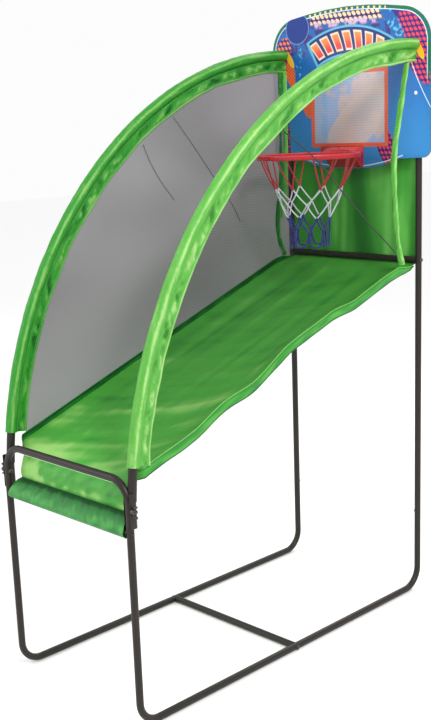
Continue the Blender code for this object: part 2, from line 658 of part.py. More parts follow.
# ---- the whole machine -----------------------------------------------------------------------------
for side_name, sign in SIDES:
    floor_frame(side_name + "_floor_frame", sign)
    upright(side_name + "_rear_upright", sign)
    arch_lower(side_name + "_arch_lower_tube", sign)
    arch_upper(side_name + "_arch_upper_tube", sign)
    elbow(side_name + "_arch_elbow", sign)
    wing_bolt(side_name + "_wing_bolt", sign)
    wing_nut(side_name + "_wing_nut", sign)
    snap_button(side_name + "_front_snap_button", sign * HALF, FRONT_Y, FRONT_BUTTON_Z, sign)
    snap_button(side_name + "_rear_snap_button", sign * HALF, REAR_Y, REAR_BUTTON_Z, -sign)
    cross_bolt(side_name + "_crossbar_bolt", sign, REAR_Y, CROSSBAR_Z)
    cross_bolt(side_name + "_floor_tube_bolt", sign, FLOOR_TUBE_Y, RAIL_Z)
    board_screw(side_name + "_board_screw", sign)
    rim_screw(side_name + "_rim_screw", sign)
    sleeve(side_name + "_arch_sleeve", sign)
    side_mesh(side_name + "_side_mesh", sign)
    rear_strap(side_name + "_rear_strap", sign)
gate_hoop()
lower_bar()
cross_tube("rear_crossbar", REAR_Y, CROSSBAR_Z)
cross_tube("floor_cross_tube", FLOOR_TUBE_Y, RAIL_Z)
backboard()
rim()
net()
ramp()
front_hem()
back_panel()
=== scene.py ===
import math

import bmesh
import bpy
from mathutils import Matrix, Vector, noise


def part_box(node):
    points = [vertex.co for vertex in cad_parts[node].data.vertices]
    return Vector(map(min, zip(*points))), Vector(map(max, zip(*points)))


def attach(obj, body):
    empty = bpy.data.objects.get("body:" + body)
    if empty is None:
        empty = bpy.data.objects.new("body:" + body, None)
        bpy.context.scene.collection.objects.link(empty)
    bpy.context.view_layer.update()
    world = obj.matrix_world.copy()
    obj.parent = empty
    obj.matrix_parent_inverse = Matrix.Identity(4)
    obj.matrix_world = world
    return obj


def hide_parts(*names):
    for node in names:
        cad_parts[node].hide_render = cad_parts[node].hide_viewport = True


# Looks of the basketball hoop machine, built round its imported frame. Metres, +Z up, player at -Y.
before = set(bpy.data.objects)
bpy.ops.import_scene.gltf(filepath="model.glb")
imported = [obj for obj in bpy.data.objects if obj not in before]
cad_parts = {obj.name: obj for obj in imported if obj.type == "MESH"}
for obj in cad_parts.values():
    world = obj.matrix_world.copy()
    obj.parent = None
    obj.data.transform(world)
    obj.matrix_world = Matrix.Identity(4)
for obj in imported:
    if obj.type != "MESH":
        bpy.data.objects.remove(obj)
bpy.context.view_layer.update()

# ---- Camera ---------------------------------------------------------------------------------
# A person standing in front and to the right, a little above the hoop, holding the camera with a
# slight tilt. The machine has no free cord, so nothing else has to be placed first.
EYE = Vector((1.832, -1.8135, 1.213))
HEADING, DROP, TILT = (math.radians(angle) for angle in (46.17, 12.80, -2.22))

eye_back = Vector((math.sin(HEADING) * math.cos(DROP), -math.cos(HEADING) * math.cos(DROP), math.sin(DROP)))
level_right = Vector((math.cos(HEADING), math.sin(HEADING), 0.0))
level_up = eye_back.cross(level_right)
eye_right = level_right * math.cos(TILT) + level_up * math.sin(TILT)
eye_up = level_up * math.cos(TILT) - level_right * math.sin(TILT)
camera = bpy.data.objects.new("camera", bpy.data.cameras.new("camera"))
camera.data.lens = 55.98
camera.data.shift_x, camera.data.shift_y = 0.0105, 0.0248
camera.matrix_world = Matrix.Translation(EYE) @ Matrix((eye_right, eye_up, eye_back)).transposed().to_4x4()
bpy.context.scene.collection.objects.link(camera)
bpy.context.scene.camera = camera


# ---- Studio: floor, surround and lights -----------------------------------------------------
# A pale seamless floor and a white room, with one large soft light in front and to the right of the
# machine, a fill from the left and a strip behind that draws the satin's bright edges.
class Wire:
    """One shader socket. + - * / between wires and numbers add Math nodes to its material."""

    def __init__(self, shader, socket):
        self.shader, self.socket = shader, socket

    def calc(self, operation, *values):
        return self.shader.add("Math", {"operation": operation}, list(values))

    def __add__(self, other):
        return self.calc("ADD", self, other)

    def __sub__(self, other):
        return self.calc("SUBTRACT", self, other)

    def __rsub__(self, other):
        return self.calc("SUBTRACT", other, self)

    def __mul__(self, other):
        return self.calc("MULTIPLY", self, other)

    def __truediv__(self, other):
        return self.calc("DIVIDE", self, other)

    __radd__, __rmul__ = __add__, __mul__

    def over(self, edge, soft=0.001):
        """1 where the value is above edge, 0 below it, with a soft step between."""
        return self.shader.add("MapRange", {"interpolation_type": "SMOOTHSTEP"},
                               {0: self, 1: edge - soft, 2: edge + soft})

    def under(self, edge, soft=0.001):
        return 1.0 - self.over(edge, soft)

    def between(self, low, high, soft=0.001):
        return self.over(low, soft) * self.under(high, soft)

    def sine(self):
        return self.calc("SINE", self)

    def size(self):
        return self.calc("ABSOLUTE", self)

    def most(self, other):
        return self.calc("MAXIMUM", self, other)

    def least(self, other):
        return self.calc("MINIMUM", self, other)

    def fold(self, pitch):
        """The distance from the middle of the nearest repeat of this pitch."""
        return self.calc("PINGPONG", self, pitch / 2)


class Shader:
    """A material, its surface shader, and the one method that adds any other node."""

    def __init__(self, name, **fixed):
        self.material = bpy.data.materials.new(name)
        self.material.use_nodes = True
        self.tree = self.material.node_tree
        self.surface = self.tree.nodes["Principled BSDF"]
        for socket, value in fixed.items():
            self.surface.inputs[socket.replace("_", " ")].default_value = value

    def add(self, kind, settings=(), values=(), output=0):
        node = self.tree.nodes.new("ShaderNode" + kind)
        for name, value in dict(settings).items():
            setattr(node, name, value)
        for key, value in (enumerate(values) if isinstance(values, list) else dict(values).items()):
            self.feed(node.inputs[key], value)
        return Wire(self, node.outputs[output])

    def feed(self, socket, value):
        if isinstance(value, Wire):
            self.tree.links.new(value.socket, socket)
        else:
            socket.default_value = (*value, 1.0) if len_is_three(value) and socket.type == "RGBA" else value

    def place(self, output="Object"):
        return self.add("TexCoord", output=output)

    def axes(self, vector):
        """The x, y and z of a vector, as three wires."""
        node = self.tree.nodes.new("ShaderNodeSeparateXYZ")
        self.feed(node.inputs[0], vector)
        return [Wire(self, node.outputs[i]) for i in range(3)]

    def stretch(self, vector, scale):
        return self.add("VectorMath", {"operation": "MULTIPLY"}, [vector, scale])

    def grain(self, vector, scale, detail=3.0, roughness=0.55):
        """Cloudy noise from 0 to 1."""
        return self.add("TexNoise", (), {"Vector": vector, "Scale": scale, "Detail": detail,
                                         "Roughness": roughness})

    def mix(self, share, first, second):
        return self.add("Mix", {"data_type": "RGBA"}, {0: share, 6: first, 7: second}, 2)

    def bump(self, height, distance, strength=1.0):
        return self.add("Bump", (), {"Height": height, "Distance": distance, "Strength": strength})

    def wear(self, **sockets):
        """Feed what changes over the surface: colour, roughness, normal, alpha."""
        for name, value in sockets.items():
            self.feed(self.surface.inputs[name.replace("_", " ")], value)
        return self.material


def len_is_three(value):
    return isinstance(value, (tuple, list)) and len(value) == 3


floor_finish = Shader("studio_floor", Roughness=0.9)
speckle = floor_finish.grain(floor_finish.place(), 30.0)
floor_finish.wear(Base_Color=floor_finish.mix(speckle, (0.95, 0.95, 0.95), (0.97, 0.97, 0.97)))
bpy.ops.mesh.primitive_plane_add(size=30.0, location=(0, 4.0, -0.0005))
floor = bpy.context.object
floor.name = "studio_floor"
floor.data.materials.append(floor_finish.material)

world = bpy.data.worlds.new("studio")
world.use_nodes = True
world.node_tree.nodes["Background"].inputs["Color"].default_value = (1.0, 1.0, 1.0, 1.0)
world.node_tree.nodes["Background"].inputs["Strength"].default_value = 0.98
bpy.context.scene.world = world
bpy.context.scene.view_settings.view_transform = "Standard"


def soft_light(name, place, aim, size, power):
    lamp = bpy.data.objects.new(name, bpy.data.lights.new(name, "AREA"))
    lamp.data.shape, lamp.data.size, lamp.data.energy = "DISK", size, power
    lamp.location = place
    lamp.rotation_euler = (Vector(aim) - Vector(place)).to_track_quat("-Z", "Y").to_euler()
    bpy.context.scene.collection.objects.link(lamp)


soft_light("key", (2.4, -0.9, 3.0), (0.0, 0.0, 0.8), 0.8, 70.0)
soft_light("fill", (-2.2, -2.6, 1.9), (0.0, 0.0, 0.7), 1.2, 26.0)
soft_light("rim_light", (-0.6, 2.4, 2.6), (0.0, 0.2, 1.0), 1.4, 25.0)


# ---- Frame tubes ----------------------------------------------------------------------------
# Light steel tube with a dark brown-grey powder coat: two floor frames, the front gate, the uprights
# and the cross tubes. The gate's arms and the uprights slip over the swaged ends of the floor frames.
def finish_mesh(obj, smooth_angle=40):
    """Merge doubles, turn the faces outwards and shade smooth."""
    shape = bmesh.new()
    shape.from_mesh(obj.data)
    bmesh.ops.remove_doubles(shape, verts=shape.verts, dist=0.00001)
    bmesh.ops.recalc_face_normals(shape, faces=shape.faces)
    shape.to_mesh(obj.data)
    shape.free()
    obj.data.shade_smooth()
    obj.data.set_sharp_from_angle(angle=math.radians(smooth_angle))
    return obj


def plain_mesh(obj, name):
    """The evaluated object as a plain mesh object in its place. The first one is removed."""
    bpy.context.view_layer.update()
    evaluated = obj.evaluated_get(bpy.context.evaluated_depsgraph_get())
    mesh = bpy.data.meshes.new_from_object(evaluated)
    mesh.transform(obj.matrix_world)
    bpy.data.objects.remove(obj)
    result = bpy.data.objects.new(name, mesh)
    bpy.context.scene.collection.objects.link(result)
    return result


def rod(name, paths, radius, resolution=6, taper=None):
    """Round rods along paths of points, as one mesh."""
    curve = bpy.data.curves.new(name, "CURVE")
    curve.dimensions = "3D"
    curve.bevel_depth, curve.bevel_resolution, curve.use_fill_caps = radius, resolution, True
    for path in paths:
        spline = curve.splines.new("POLY")
        spline.points.add(len(path) - 1)
        for i, at in enumerate(path):
            spline.points[i].co = (*at, 1.0)
            spline.points[i].radius = taper(i / (len(path) - 1)) if taper else 1.0
    obj = bpy.data.objects.new(name + "_guide", curve)
    bpy.context.scene.collection.objects.link(obj)
    return finish_mesh(plain_mesh(obj, name))


def rounded(corners, radius, steps=12):
    """A path through corners, each inner corner replaced by an arc of the given radius."""
    corners = [Vector(c) for c in corners]
    path = [corners[0]]
    for before, corner, after in zip(corners, corners[1:], corners[2:]):
        away, ahead = (before - corner).normalized(), (after - corner).normalized()
        half = away.angle(ahead) / 2
        middle = corner + (away + ahead).normalized() * radius / math.sin(half)
        start = corner + away * radius / math.tan(half) - middle
        end = corner + ahead * radius / math.tan(half) - middle
        sweep = start.angle(end)
        for i in range(steps + 1):
            t = i / steps
            spoke = start * math.sin((1 - t) * sweep) + end * math.sin(t * sweep)
            path.append(middle + spoke / math.sin(sweep))
    path.append(corners[-1])
    return path


def settle(obj, shader, nodes=(), body="machine"):
    """Give a finished piece its material and body, and hide the frame's nodes that it stands for."""
    obj.data.materials.clear()
    obj.data.materials.append(shader.material)
    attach(obj, body)
    if nodes:
        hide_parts(*nodes)
    return obj


powder_coat = Shader("powder_coat", Specular_IOR_Level=0.28, Coat_Roughness=0.25)
where = powder_coat.place()
orange_peel = powder_coat.grain(where, 900.0, 2.0)
rub = powder_coat.grain(where, 14.0, 4.0)
powder_coat.wear(Base_Color=powder_coat.mix(rub, (0.013, 0.0095, 0.008), (0.023, 0.017, 0.014)),
                 Roughness=0.34 + rub * 0.14,
                 Coat_Weight=rub * 0.06,
                 Normal=powder_coat.bump(orange_peel, 0.00012, 0.6))

rail_low, rail_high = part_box("right_floor_frame")
tube_r = (rail_high.x - rail_low.x) / 2
half = (rail_high.x + rail_low.x) / 2
front_y, rear_y = rail_low.y + tube_r, rail_high.y - tube_r
front_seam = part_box("front_gate_hoop")[0].z
rear_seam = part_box("right_rear_upright")[0].z
gate_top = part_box("front_gate_hoop")[1].z - tube_r
upright_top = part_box("right_rear_upright")[1].z
bend_r = 0.05
joint_gap = 0.0004                    # between the ends of two tubes, and round the gate's arm
button_hole_r = 0.0031
SIDES = (("left", -1), ("right", 1))


def boolean(obj, other, operation):
    step = obj.modifiers.new(operation.lower(), "BOOLEAN")
    step.operation, step.object = operation, other


def bored(tube_mesh, name, holes):
    """The tube with the button holes drilled from its middle outwards: each hole is (x, y, z, direction)."""
    drills = [rod("drill", [[(x, y, z), (x + 0.03 * way, y, z)]], button_hole_r, 5) for x, y, z, way in holes]
    for drill in drills:
        boolean(tube_mesh, drill, "DIFFERENCE")
    tube_mesh = plain_mesh(tube_mesh, name)
    for drill in drills:
        bpy.data.objects.remove(drill)
    return finish_mesh(tube_mesh)


def button_height(end):
    low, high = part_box(f"right_{end}_snap_button")
    return (low.z + high.z) / 2


for side, sign in SIDES:
    x = sign * half
    loop = rounded([(x, front_y, front_seam - joint_gap), (x, front_y, tube_r), (x, rear_y, tube_r),
                    (x, rear_y, rear_seam - joint_gap)], bend_r)
    floor_frame = rod(side + "_floor_frame_tube", [loop], tube_r)
    settle(floor_frame, powder_coat, [side + "_floor_frame"])
    upright = bored(rod("upright", [[(x, rear_y, rear_seam), (x, rear_y, upright_top)]], tube_r),
                    side + "_rear_upright_tube", [(x, rear_y, button_height("rear"), -sign)])
    settle(upright, powder_coat, [side + "_rear_upright"])

gate = rounded([(-half, front_y, front_seam), (-half, front_y, gate_top), (half, front_y, gate_top),
                (half, front_y, front_seam)], bend_r)
gate_tube = bored(rod("gate", [gate], tube_r), "front_gate_tube",
                  [(sign * half, front_y, button_height("front"), sign) for _, sign in SIDES])
settle(gate_tube, powder_coat, ["front_gate_hoop"])

for node in ("front_lower_bar", "rear_crossbar", "floor_cross_tube"):
    low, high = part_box(node)
    y, z = (low.y + high.y) / 2, (low.z + high.z) / 2
    bar = rod(node + "_tube", [[(low.x + 0.002, y, z), (high.x - 0.002, y, z)]], tube_r)
    settle(bar, powder_coat, [node])


# ---- Arch tubes -----------------------------------------------------------------------------
# Each arch is a quarter circle in two lengths of steel tube. The lower one is a size larger and ends in an
# open channel that hugs the gate's arm. The upper one slips into it under the sleeve.
arch_r = (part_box("right_arch_lower_tube")[1].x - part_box("right_arch_lower_tube")[0].x) / 2
channel_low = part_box("right_arch_lower_tube")[0].z
arch_radius = 0.948
arch_y, arch_z = rear_y - 0.0115, 0.430
board_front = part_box("backboard")[0].y
arch_split = math.radians(46)


def arch_point(angle, radius=arch_radius, x=0.0):
    """A point on the arch's circle: the angle is 0 at its foot and a quarter turn at the board."""
    return Vector((x, arch_y - radius * math.cos(angle), arch_z + radius * math.sin(angle)))


def arc(start, end, steps, radius=arch_radius, x=0.0):
    return [arch_point(start + (end - start) * i / steps, radius, x) for i in range(steps + 1)]


def block(name, low, high):
    bpy.ops.mesh.primitive_cube_add(size=1.0)
    obj = bpy.context.object
    obj.name = name
    low, high = Vector(low), Vector(high)
    obj.data.transform(Matrix.Translation((low + high) / 2) @ Matrix.Diagonal((*(high - low), 1.0)))
    return obj


arch_end = math.pi / 2 + math.asin((board_front - 0.0006 - arch_y) / arch_radius)
channel_top = channel_low + 0.074
for side, sign in SIDES:
    x = sign * half
    foot_angle = math.asin((channel_top - 0.02 - arch_z) / arch_radius)
    lower = rod(side + "_arch_lower", [arc(foot_angle, arch_split, 40, x=x)], arch_r)
    foot_y = arch_point(math.asin((channel_low - arch_z) / arch_radius)).y
    helpers = [rod("channel_back", [[(x, foot_y, channel_low), (x, foot_y, channel_top)]], arch_r),
               block("channel_cheeks", (x - arch_r, front_y - 0.0065, channel_low),
                     (x + arch_r, foot_y, channel_top))]
    cheeks = helpers[1].modifiers.new("soft_edges", "BEVEL")
    cheeks.width, cheeks.segments = 0.0015, 3
    cutters = [rod("arm_room", [gate], tube_r + joint_gap),
               block("channel_mouth", (x - tube_r - joint_gap, front_y - 0.02, channel_low - 0.01),
                     (x + tube_r + joint_gap, front_y, channel_top + 0.04))]
    for helper in helpers:
        boolean(lower, helper, "UNION")
    for cutter in cutters:
        boolean(lower, cutter, "DIFFERENCE")
    lower = plain_mesh(lower, side + "_arch_lower_shell")
    for used in helpers + cutters:
        bpy.data.objects.remove(used)
    settle(finish_mesh(lower), powder_coat, [side + "_arch_lower_tube"])
    upper = rod(side + "_arch_upper", [arc(arch_split - 0.045 / arch_radius, arch_end, 40, x=x)], tube_r)
    settle(upper, powder_coat, [side + "_arch_upper_tube"])


# ---- Fasteners, snap buttons and elbow plugs ------------------------------------------------
# Blackened steel: hexagon-socket bolts in the cross tubes, a round-headed bolt with a wing nut at each front
# joint, domed spring buttons, and white cross-head screws that hold the board. The elbows are black plastic.
black_steel = Shader("black_steel", Metallic=1.0)
scuff = black_steel.grain(black_steel.place(), 260.0, 5.0)
black_steel.wear(Base_Color=black_steel.mix(scuff, (0.045, 0.042, 0.040), (0.14, 0.13, 0.125)),
                 Roughness=0.30 + scuff * 0.25, Normal=black_steel.bump(scuff, 0.0001, 0.4))
white_enamel = Shader("white_enamel", Roughness=0.3)
chip = white_enamel.grain(white_enamel.place(), 400.0, 3.0)
white_enamel.wear(Base_Color=white_enamel.mix(chip, (0.78, 0.79, 0.82), (0.92, 0.93, 0.95)),
                  Normal=white_enamel.bump(chip, 0.0001, 0.3))
black_plastic = Shader("black_plastic", Roughness=0.5)
moulded = black_plastic.grain(black_plastic.place(), 1200.0, 2.0)
black_plastic.wear(Base_Color=black_plastic.mix(moulded, (0.02, 0.02, 0.02), (0.04, 0.04, 0.042)),
                   Normal=black_plastic.bump(moulded, 0.0001, 0.5))


def turned(name, profile, at, axis, sides=32, recess=None):
    """A turned piece along axis from the point at. A recess is (corners, radius, depth) cut into its face."""
    mesh = bpy.data.meshes.new(name)
    mesh.from_pydata([(radius, 0.0, height) for radius, height in profile],
                     [(i, i + 1) for i in range(len(profile) - 1)], [])
    obj = bpy.data.objects.new(name, mesh)
    bpy.context.scene.collection.objects.link(obj)
    screw = obj.modifiers.new("turn", "SCREW")
    screw.steps = screw.render_steps = sides
    screw.use_merge_vertices, screw.merge_threshold = True, 0.00001
    obj = finish_mesh(plain_mesh(obj, name))
    if recess:
        corners, radius, depth = recess
        top = profile[0][1]
        bpy.ops.mesh.primitive_cone_add(vertices=corners, radius1=radius * 0.6, radius2=radius,
                                        depth=2 * depth, location=(0, 0, top))
        cutter = bpy.context.object
        boolean(obj, cutter, "DIFFERENCE")
        obj = plain_mesh(obj, name)
        bpy.data.objects.remove(cutter)
        finish_mesh(obj)
    obj.data.transform(Matrix.Translation(at) @ Vector(axis).to_track_quat("Z", "Y").to_matrix().to_4x4())
    return obj


def dome(radius, height, steps=6):
    """Profile of a domed head from its crown down to its rim."""
    return [(radius * math.sin(math.pi / 2 * i / steps), height * math.cos(math.pi / 2 * i / steps))
            for i in range(steps + 1)]


SEAT_GAP = 0.0003                     # what touching pieces keep between them
for side, sign in SIDES:
    outward = (sign, 0, 0)
    for node in ("crossbar_bolt", "floor_tube_bolt"):
        low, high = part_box(f"{side}_{node}")
        head = dome(0.0052, 0.0034) + [(0.0025, 0.0), (0.0025, -0.040), (0.0, -0.040)]
        seat = (sign * (half + tube_r + SEAT_GAP), (low.y + high.y) / 2, (low.z + high.z) / 2)
        bolt = turned(f"{side}_{node}_head", head, seat, outward, recess=(6, 0.0018, 0.0018))
        settle(bolt, black_steel, [f"{side}_{node}"])

    low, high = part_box(side + "_wing_bolt")
    wing_y, wing_z = (low.y + high.y) / 2, (low.z + high.z) / 2
    inner = sign * (half - arch_r - SEAT_GAP)
    shank = 2 * arch_r + 0.0136
    head = dome(0.0055, 0.0036) + [(0.0030, 0.0), (0.0030, -shank + 0.001), (0.0024, -shank), (0.0, -shank)]
    bolt = turned(side + "_wing_bolt_shank", head, (inner, wing_y, wing_z), (-sign, 0, 0),
                  recess=(4, 0.0017, 0.0016))
    settle(bolt, black_steel, [side + "_wing_bolt"])

    seat_x = sign * (half + arch_r + SEAT_GAP)
    hub = [(0.0034, 0.0105), (0.0045, 0.0105), (0.0052, 0.0098), (0.0060, 0.0040), (0.0062, 0.0),
           (0.0034, 0.0), (0.0034, 0.0105)]
    nut = turned(side + "_wing_nut_hub", hub, (seat_x, wing_y, wing_z), outward)
    ears = []
    for up in (-1, 1):
        route = [Vector((seat_x + sign * dx, wing_y + 0.0005, wing_z + up * dz)) for dx, dz in
                 ((0.0032, 0.0062), (0.0055, 0.0078), (0.0085, 0.0094), (0.0115, 0.0107), (0.0138, 0.0114))]
        ear = rod("ear", [route], 0.0026, 4,
                  lambda t: 0.75 + 0.35 * math.sin(math.pi * min(1.0, 0.25 + t * 0.7)))
        boolean(nut, ear, "UNION")
        ears.append(ear)
    nut = plain_mesh(nut, side + "_wing_nut_turned")
    for ear in ears:
        bpy.data.objects.remove(ear)
    settle(finish_mesh(nut, 50), black_steel, [side + "_wing_nut"], side + "_wing_nut")

    for end, button_y, facing in (("front", front_y, sign), ("rear", rear_y, -sign)):
        node = f"{side}_{end}_snap_button"
        low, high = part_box(node)
        at = (sign * half, button_y, (low.z + high.z) / 2)
        pin = [(r, 0.0098 + h) for r, h in dome(0.0028, 0.0012)] + [(0.0028, 0.002), (0.0034, 0.002),
                                                                  (0.0034, 0.0006), (0.0, 0.0006)]
        settle(turned(node + "_pin", pin, at, (facing, 0, 0)), black_steel, [node], node)

    low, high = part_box(side + "_board_screw")
    head = dome(0.0045, 0.0022) + [(0.0022, 0.0), (0.0022, -0.020), (0.0, -0.020)]
    at = (sign * half, board_front - SEAT_GAP, (low.z + high.z) / 2)
    screw = turned(side + "_board_screw_head", head, at, (0, -1, 0), recess=(4, 0.0019, 0.0012))
    settle(screw, white_enamel, [side + "_board_screw"])

    low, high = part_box(side + "_rim_screw")
    head = dome(0.0042, 0.0024) + [(0.0017, 0.0), (0.0017, -0.016), (0.0, -0.016)]
    at = ((low.x + high.x) / 2, high.y - 0.0024, (low.z + high.z) / 2)
    screw = turned(side + "_rim_screw_head", head, at, (0, 1, 0), recess=(4, 0.0018, 0.0012))
    settle(screw, black_steel, [side + "_rim_screw"])

    elbow_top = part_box(side + "_arch_elbow")[1].z - tube_r
    x = sign * half
    corner = rounded([(x, board_front, elbow_top), (x, rear_y, elbow_top),
                      (x, rear_y, upright_top + SEAT_GAP)], 0.011)
    elbow = rod(side + "_arch_elbow_cap", [corner], tube_r)
    settle(elbow, black_plastic, [side + "_arch_elbow"])


# ---- Satin ----------------------------------------------------------------------------------
# Bright green polyester satin: a smooth face with a broad soft shine, fine creases where it is slack, and a
# weave too fine to see from a step away. Its depth of green is painted light: painted shade in each mesh's
# hollows, a painted highlight on its crests, and lit and shaded copies for pieces in light and in shade.
def satin(name, dark, middle, pale, crease=60.0, shine=0.34):
    """Satin painted with shade and highlight by each mesh's own fold attribute: painted shade at 0 in a
    hollow, a painted highlight at 1 on a crest.
    """
    cloth = Shader(name, Specular_IOR_Level=0.28)
    spot = cloth.place()
    creases = cloth.grain(cloth.stretch(spot, (1.0, 0.55, 0.55)), crease, 5.0, 0.6)
    threads = cloth.add("TexWave", {"bands_direction": "DIAGONAL"}, {"Vector": spot, "Scale": 620.0})
    fold = cloth.add("Attribute", {"attribute_name": "fold"}, (), 2) + (creases - 0.5) * 0.30
    # dark is painted shade in the hollows and pale a painted highlight on the crests
    hollow = cloth.mix(fold.over(0.25, 0.25), dark, middle)
    cloth.wear(Base_Color=cloth.mix(fold.over(0.75, 0.25), hollow, pale),
               Roughness=shine + creases * 0.16,
               Normal=cloth.bump(creases * 0.9 + threads * 0.06, 0.0016, 0.45))
    return cloth


# The near sleeve takes a lit copy and the far sleeve a shaded copy of one satin: painted light and painted
# shade.
satin_sleeve_lit = satin("satin_sleeve_painted_lit", (0.020, 0.17, 0.012), (0.085, 0.345, 0.042), (0.30, 0.54, 0.17),
                   120.0)
satin_sleeve_shaded = satin("satin_sleeve_painted_shade", (0.005, 0.085, 0.010), (0.024, 0.24, 0.020), (0.17, 0.40, 0.09), 110.0)
satin_ramp = satin("satin_ramp", (0.022, 0.20, 0.024), (0.062, 0.34, 0.040), (0.28, 0.56, 0.14), 30.0)
satin_panel = satin("satin_panel", (0.016, 0.17, 0.018), (0.048, 0.32, 0.034), (0.16, 0.56, 0.10), 30.0)
# A darker copy of the satin, painted shade, for the far band, the band hems, the pocket and the far strap.
satin_painted_shade = satin("satin_painted_shade", (0.004, 0.060, 0.012), (0.014, 0.17, 0.024), (0.06, 0.34, 0.06), 60.0)


def sheet_mesh(name, rows, closed=False, capped=False, folds=None):
    """A mesh from rows of points. Closed joins each row's ends, capped closes the first and last row."""
    mesh = bpy.data.meshes.new(name)
    width = len(rows[0])
    faces = []
    for r in range(len(rows) - 1):
        for c in range(width if closed else width - 1):
            d = (c + 1) % width
            faces.append((r * width + c, r * width + d, (r + 1) * width + d, (r + 1) * width + c))
    if capped:
        faces += [tuple(range(width)), tuple(range((len(rows) - 1) * width, len(rows) * width))]
    mesh.from_pydata([tuple(p) for row in rows for p in row], [], faces)
    # folds gives each point its tone for the satin's painted shade and highlight, stored as the fold attribute
    if folds:
        height = mesh.attributes.new("fold", "FLOAT", "POINT")
        height.data.foreach_set("value", [min(1.0, max(0.0, f)) for row in folds for f in row])
    obj = bpy.data.objects.new(name, mesh)
    bpy.context.scene.collection.objects.link(obj)
    return finish_mesh(obj, 60)


def thick(obj, name, depth, offset=-1.0):
    """The cloth with a wall of this depth, as a plain mesh."""
    wall = obj.modifiers.new("cloth", "SOLIDIFY")
    wall.thickness, wall.offset = depth, offset
    return finish_mesh(plain_mesh(obj, name), 60)


def ripple(*where):
    """Smooth random height from -1 to 1 at up to three coordinates."""
    return noise.noise(Vector((*where, 0.0, 0.0)[:3]))


# ---- Arch sleeves ---------------------------------------------------------------------------
# Each arch tube runs in a round pocket sewn along the edge of a flat satin band. The band is gathered, so it
# puckers and folds on the slant, and a narrow binding joins its inner edge to the mesh.
POCKET_R = 0.0128
BAND_IN = 0.0365                      # where the binding starts, inwards from the tube's middle
BINDING_IN = 0.0425                   # the binding's own inner edge
band_profile = [(-BINDING_IN, 0.0), (-BINDING_IN + 0.0006, 0.0021), (-0.0402, 0.0030), (-0.0378, 0.0028),
                (-BAND_IN, 0.0013), (-0.0345, 0.0016), (-0.031, 0.0020), (-0.027, 0.0023), (-0.023, 0.0026),
                (-0.019, 0.0028), (-0.0165, 0.0024), (-0.0148, 0.0021)]
pocket_profile = [(POCKET_R * math.cos(math.radians(a)), POCKET_R * math.sin(math.radians(a)))
                  for a in range(160, -1, -10)]
half_profile = band_profile + pocket_profile
sleeve_profile = half_profile + [(r, -x) for r, x in reversed(half_profile[1:-1])]
sleeve_start = math.asin((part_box("right_arch_sleeve")[0].z - arch_z) / arch_radius)
sleeve_end = arch_end - 0.0015 / arch_radius
SLEEVE_ROWS = 600
sleeve_angles = [sleeve_start + (sleeve_end - sleeve_start) * i / SLEEVE_ROWS for i in range(SLEEVE_ROWS + 1)]
SLEEVE_SEED = {"left": 11.3, "right": 3.7}


def slant(s, r, angle, across, along, seed):
    """Folds that run at an angle to the arch: -1 in the hollows, 1 on narrow crests."""
    c, d = math.cos(math.radians(angle)), math.sin(math.radians(angle))
    return 1.0 - 3.2 * abs(ripple((s * d - r * c) * across, (s * c + r * d) * along, seed))


def sleeve_wrinkle(seed, s, r, x):
    """Move one point of the sleeve and tell its painted shading tone: s runs along the arch, r outwards and x
    sideways.
    """
    inner = min(1.0, max(0.0, (-r - 0.013) / 0.010)) * min(1.0, max(0.0, (r + 0.0385) / 0.006))
    busy = 0.5 + 0.9 * ripple(s * 5, seed + 2)
    folds = (1.3 * slant(s, r, 36, 42, 11, seed) + busy * slant(s, r, -32, 75, 20, seed + 5)
             + 0.35 * slant(s, r, 55, 140, 40, seed + 7)) * 0.45
    broad = ripple(s * 16, r * 60, seed + 11)
    side = 1 if x > 0 else -1
    scallop = ripple(s * 9, seed + 20) * 0.0038 + ripple(s * 27, seed + 26) * 0.0016
    if r > -0.0125:
        swell = (1.0 + 0.05 * ripple(s * 24 + x * 60, r * 90, seed + 40)
                 + 0.04 * ripple(s * 70, x * 170, seed + 44))
        angle = math.atan2(x * side, r)
        # A painted highlight runs along the pocket's upper side, with painted shade past 1.9 radians under it
        crest = max(0.0, 1 - abs(angle - 1.15) / 0.35)
        tone = (0.54 + 0.42 * crest + 0.26 * ripple(s * 22, angle * 2.5, seed + 50)
                + 0.12 * ripple(s * 150, angle * 3) - 0.35 * max(0.0, angle - 1.9))
        return r * swell, x * swell, tone
    if r < -0.0365:
        return r + scallop, x + 0.0012 * broad, 0.80 + 0.2 * broad
    # The flange's tone is painted shade in the fold hollows and a painted highlight on the crests
    dx = inner * (folds * 0.0026 * side + broad * 0.0034)
    return r + scallop * min(1.0, (-r - 0.013) / 0.024), x + dx, 0.36 + inner * folds * 0.62 + broad * 0.35


for side, sign in SIDES:
    rows, folds = [], []
    for angle in sleeve_angles:
        outward = Vector((0.0, -math.cos(angle), math.sin(angle)))
        middle = arch_point(angle, x=sign * half)
        along = angle * arch_radius
        row, tones = [], []
        for r, across in sleeve_profile:
            moved_r, moved_x, tone = sleeve_wrinkle(SLEEVE_SEED[side], along, r, across)
            row.append(middle + outward * moved_r + Vector((moved_x, 0.0, 0.0)))
            tones.append(tone)
        rows.append(row)
        folds.append(tones)
    sleeve = sheet_mesh(side + "_sleeve_satin", rows, closed=True, capped=True, folds=folds)
    settle(sleeve, satin_sleeve_lit if sign > 0 else satin_sleeve_shaded, [side + "_arch_sleeve"])


# ---- Ramp -----------------------------------------------------------------------------------
# One satin sheet, sewn to the side bands along both edges and pulled over the rear crossbar. It sags a
# little between its edges, creases crosswise where it is slack, and turns down at the front.
ramp_low, ramp_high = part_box("ramp")
ramp_slope = (ramp_high.z - ramp_low.z) / (ramp_high.y - ramp_low.y)
ramp_half = ramp_high.x
apron_half = 0.182


def ramp_z(y):
    return ramp_low.z + 0.0008 + (y - ramp_low.y) * ramp_slope


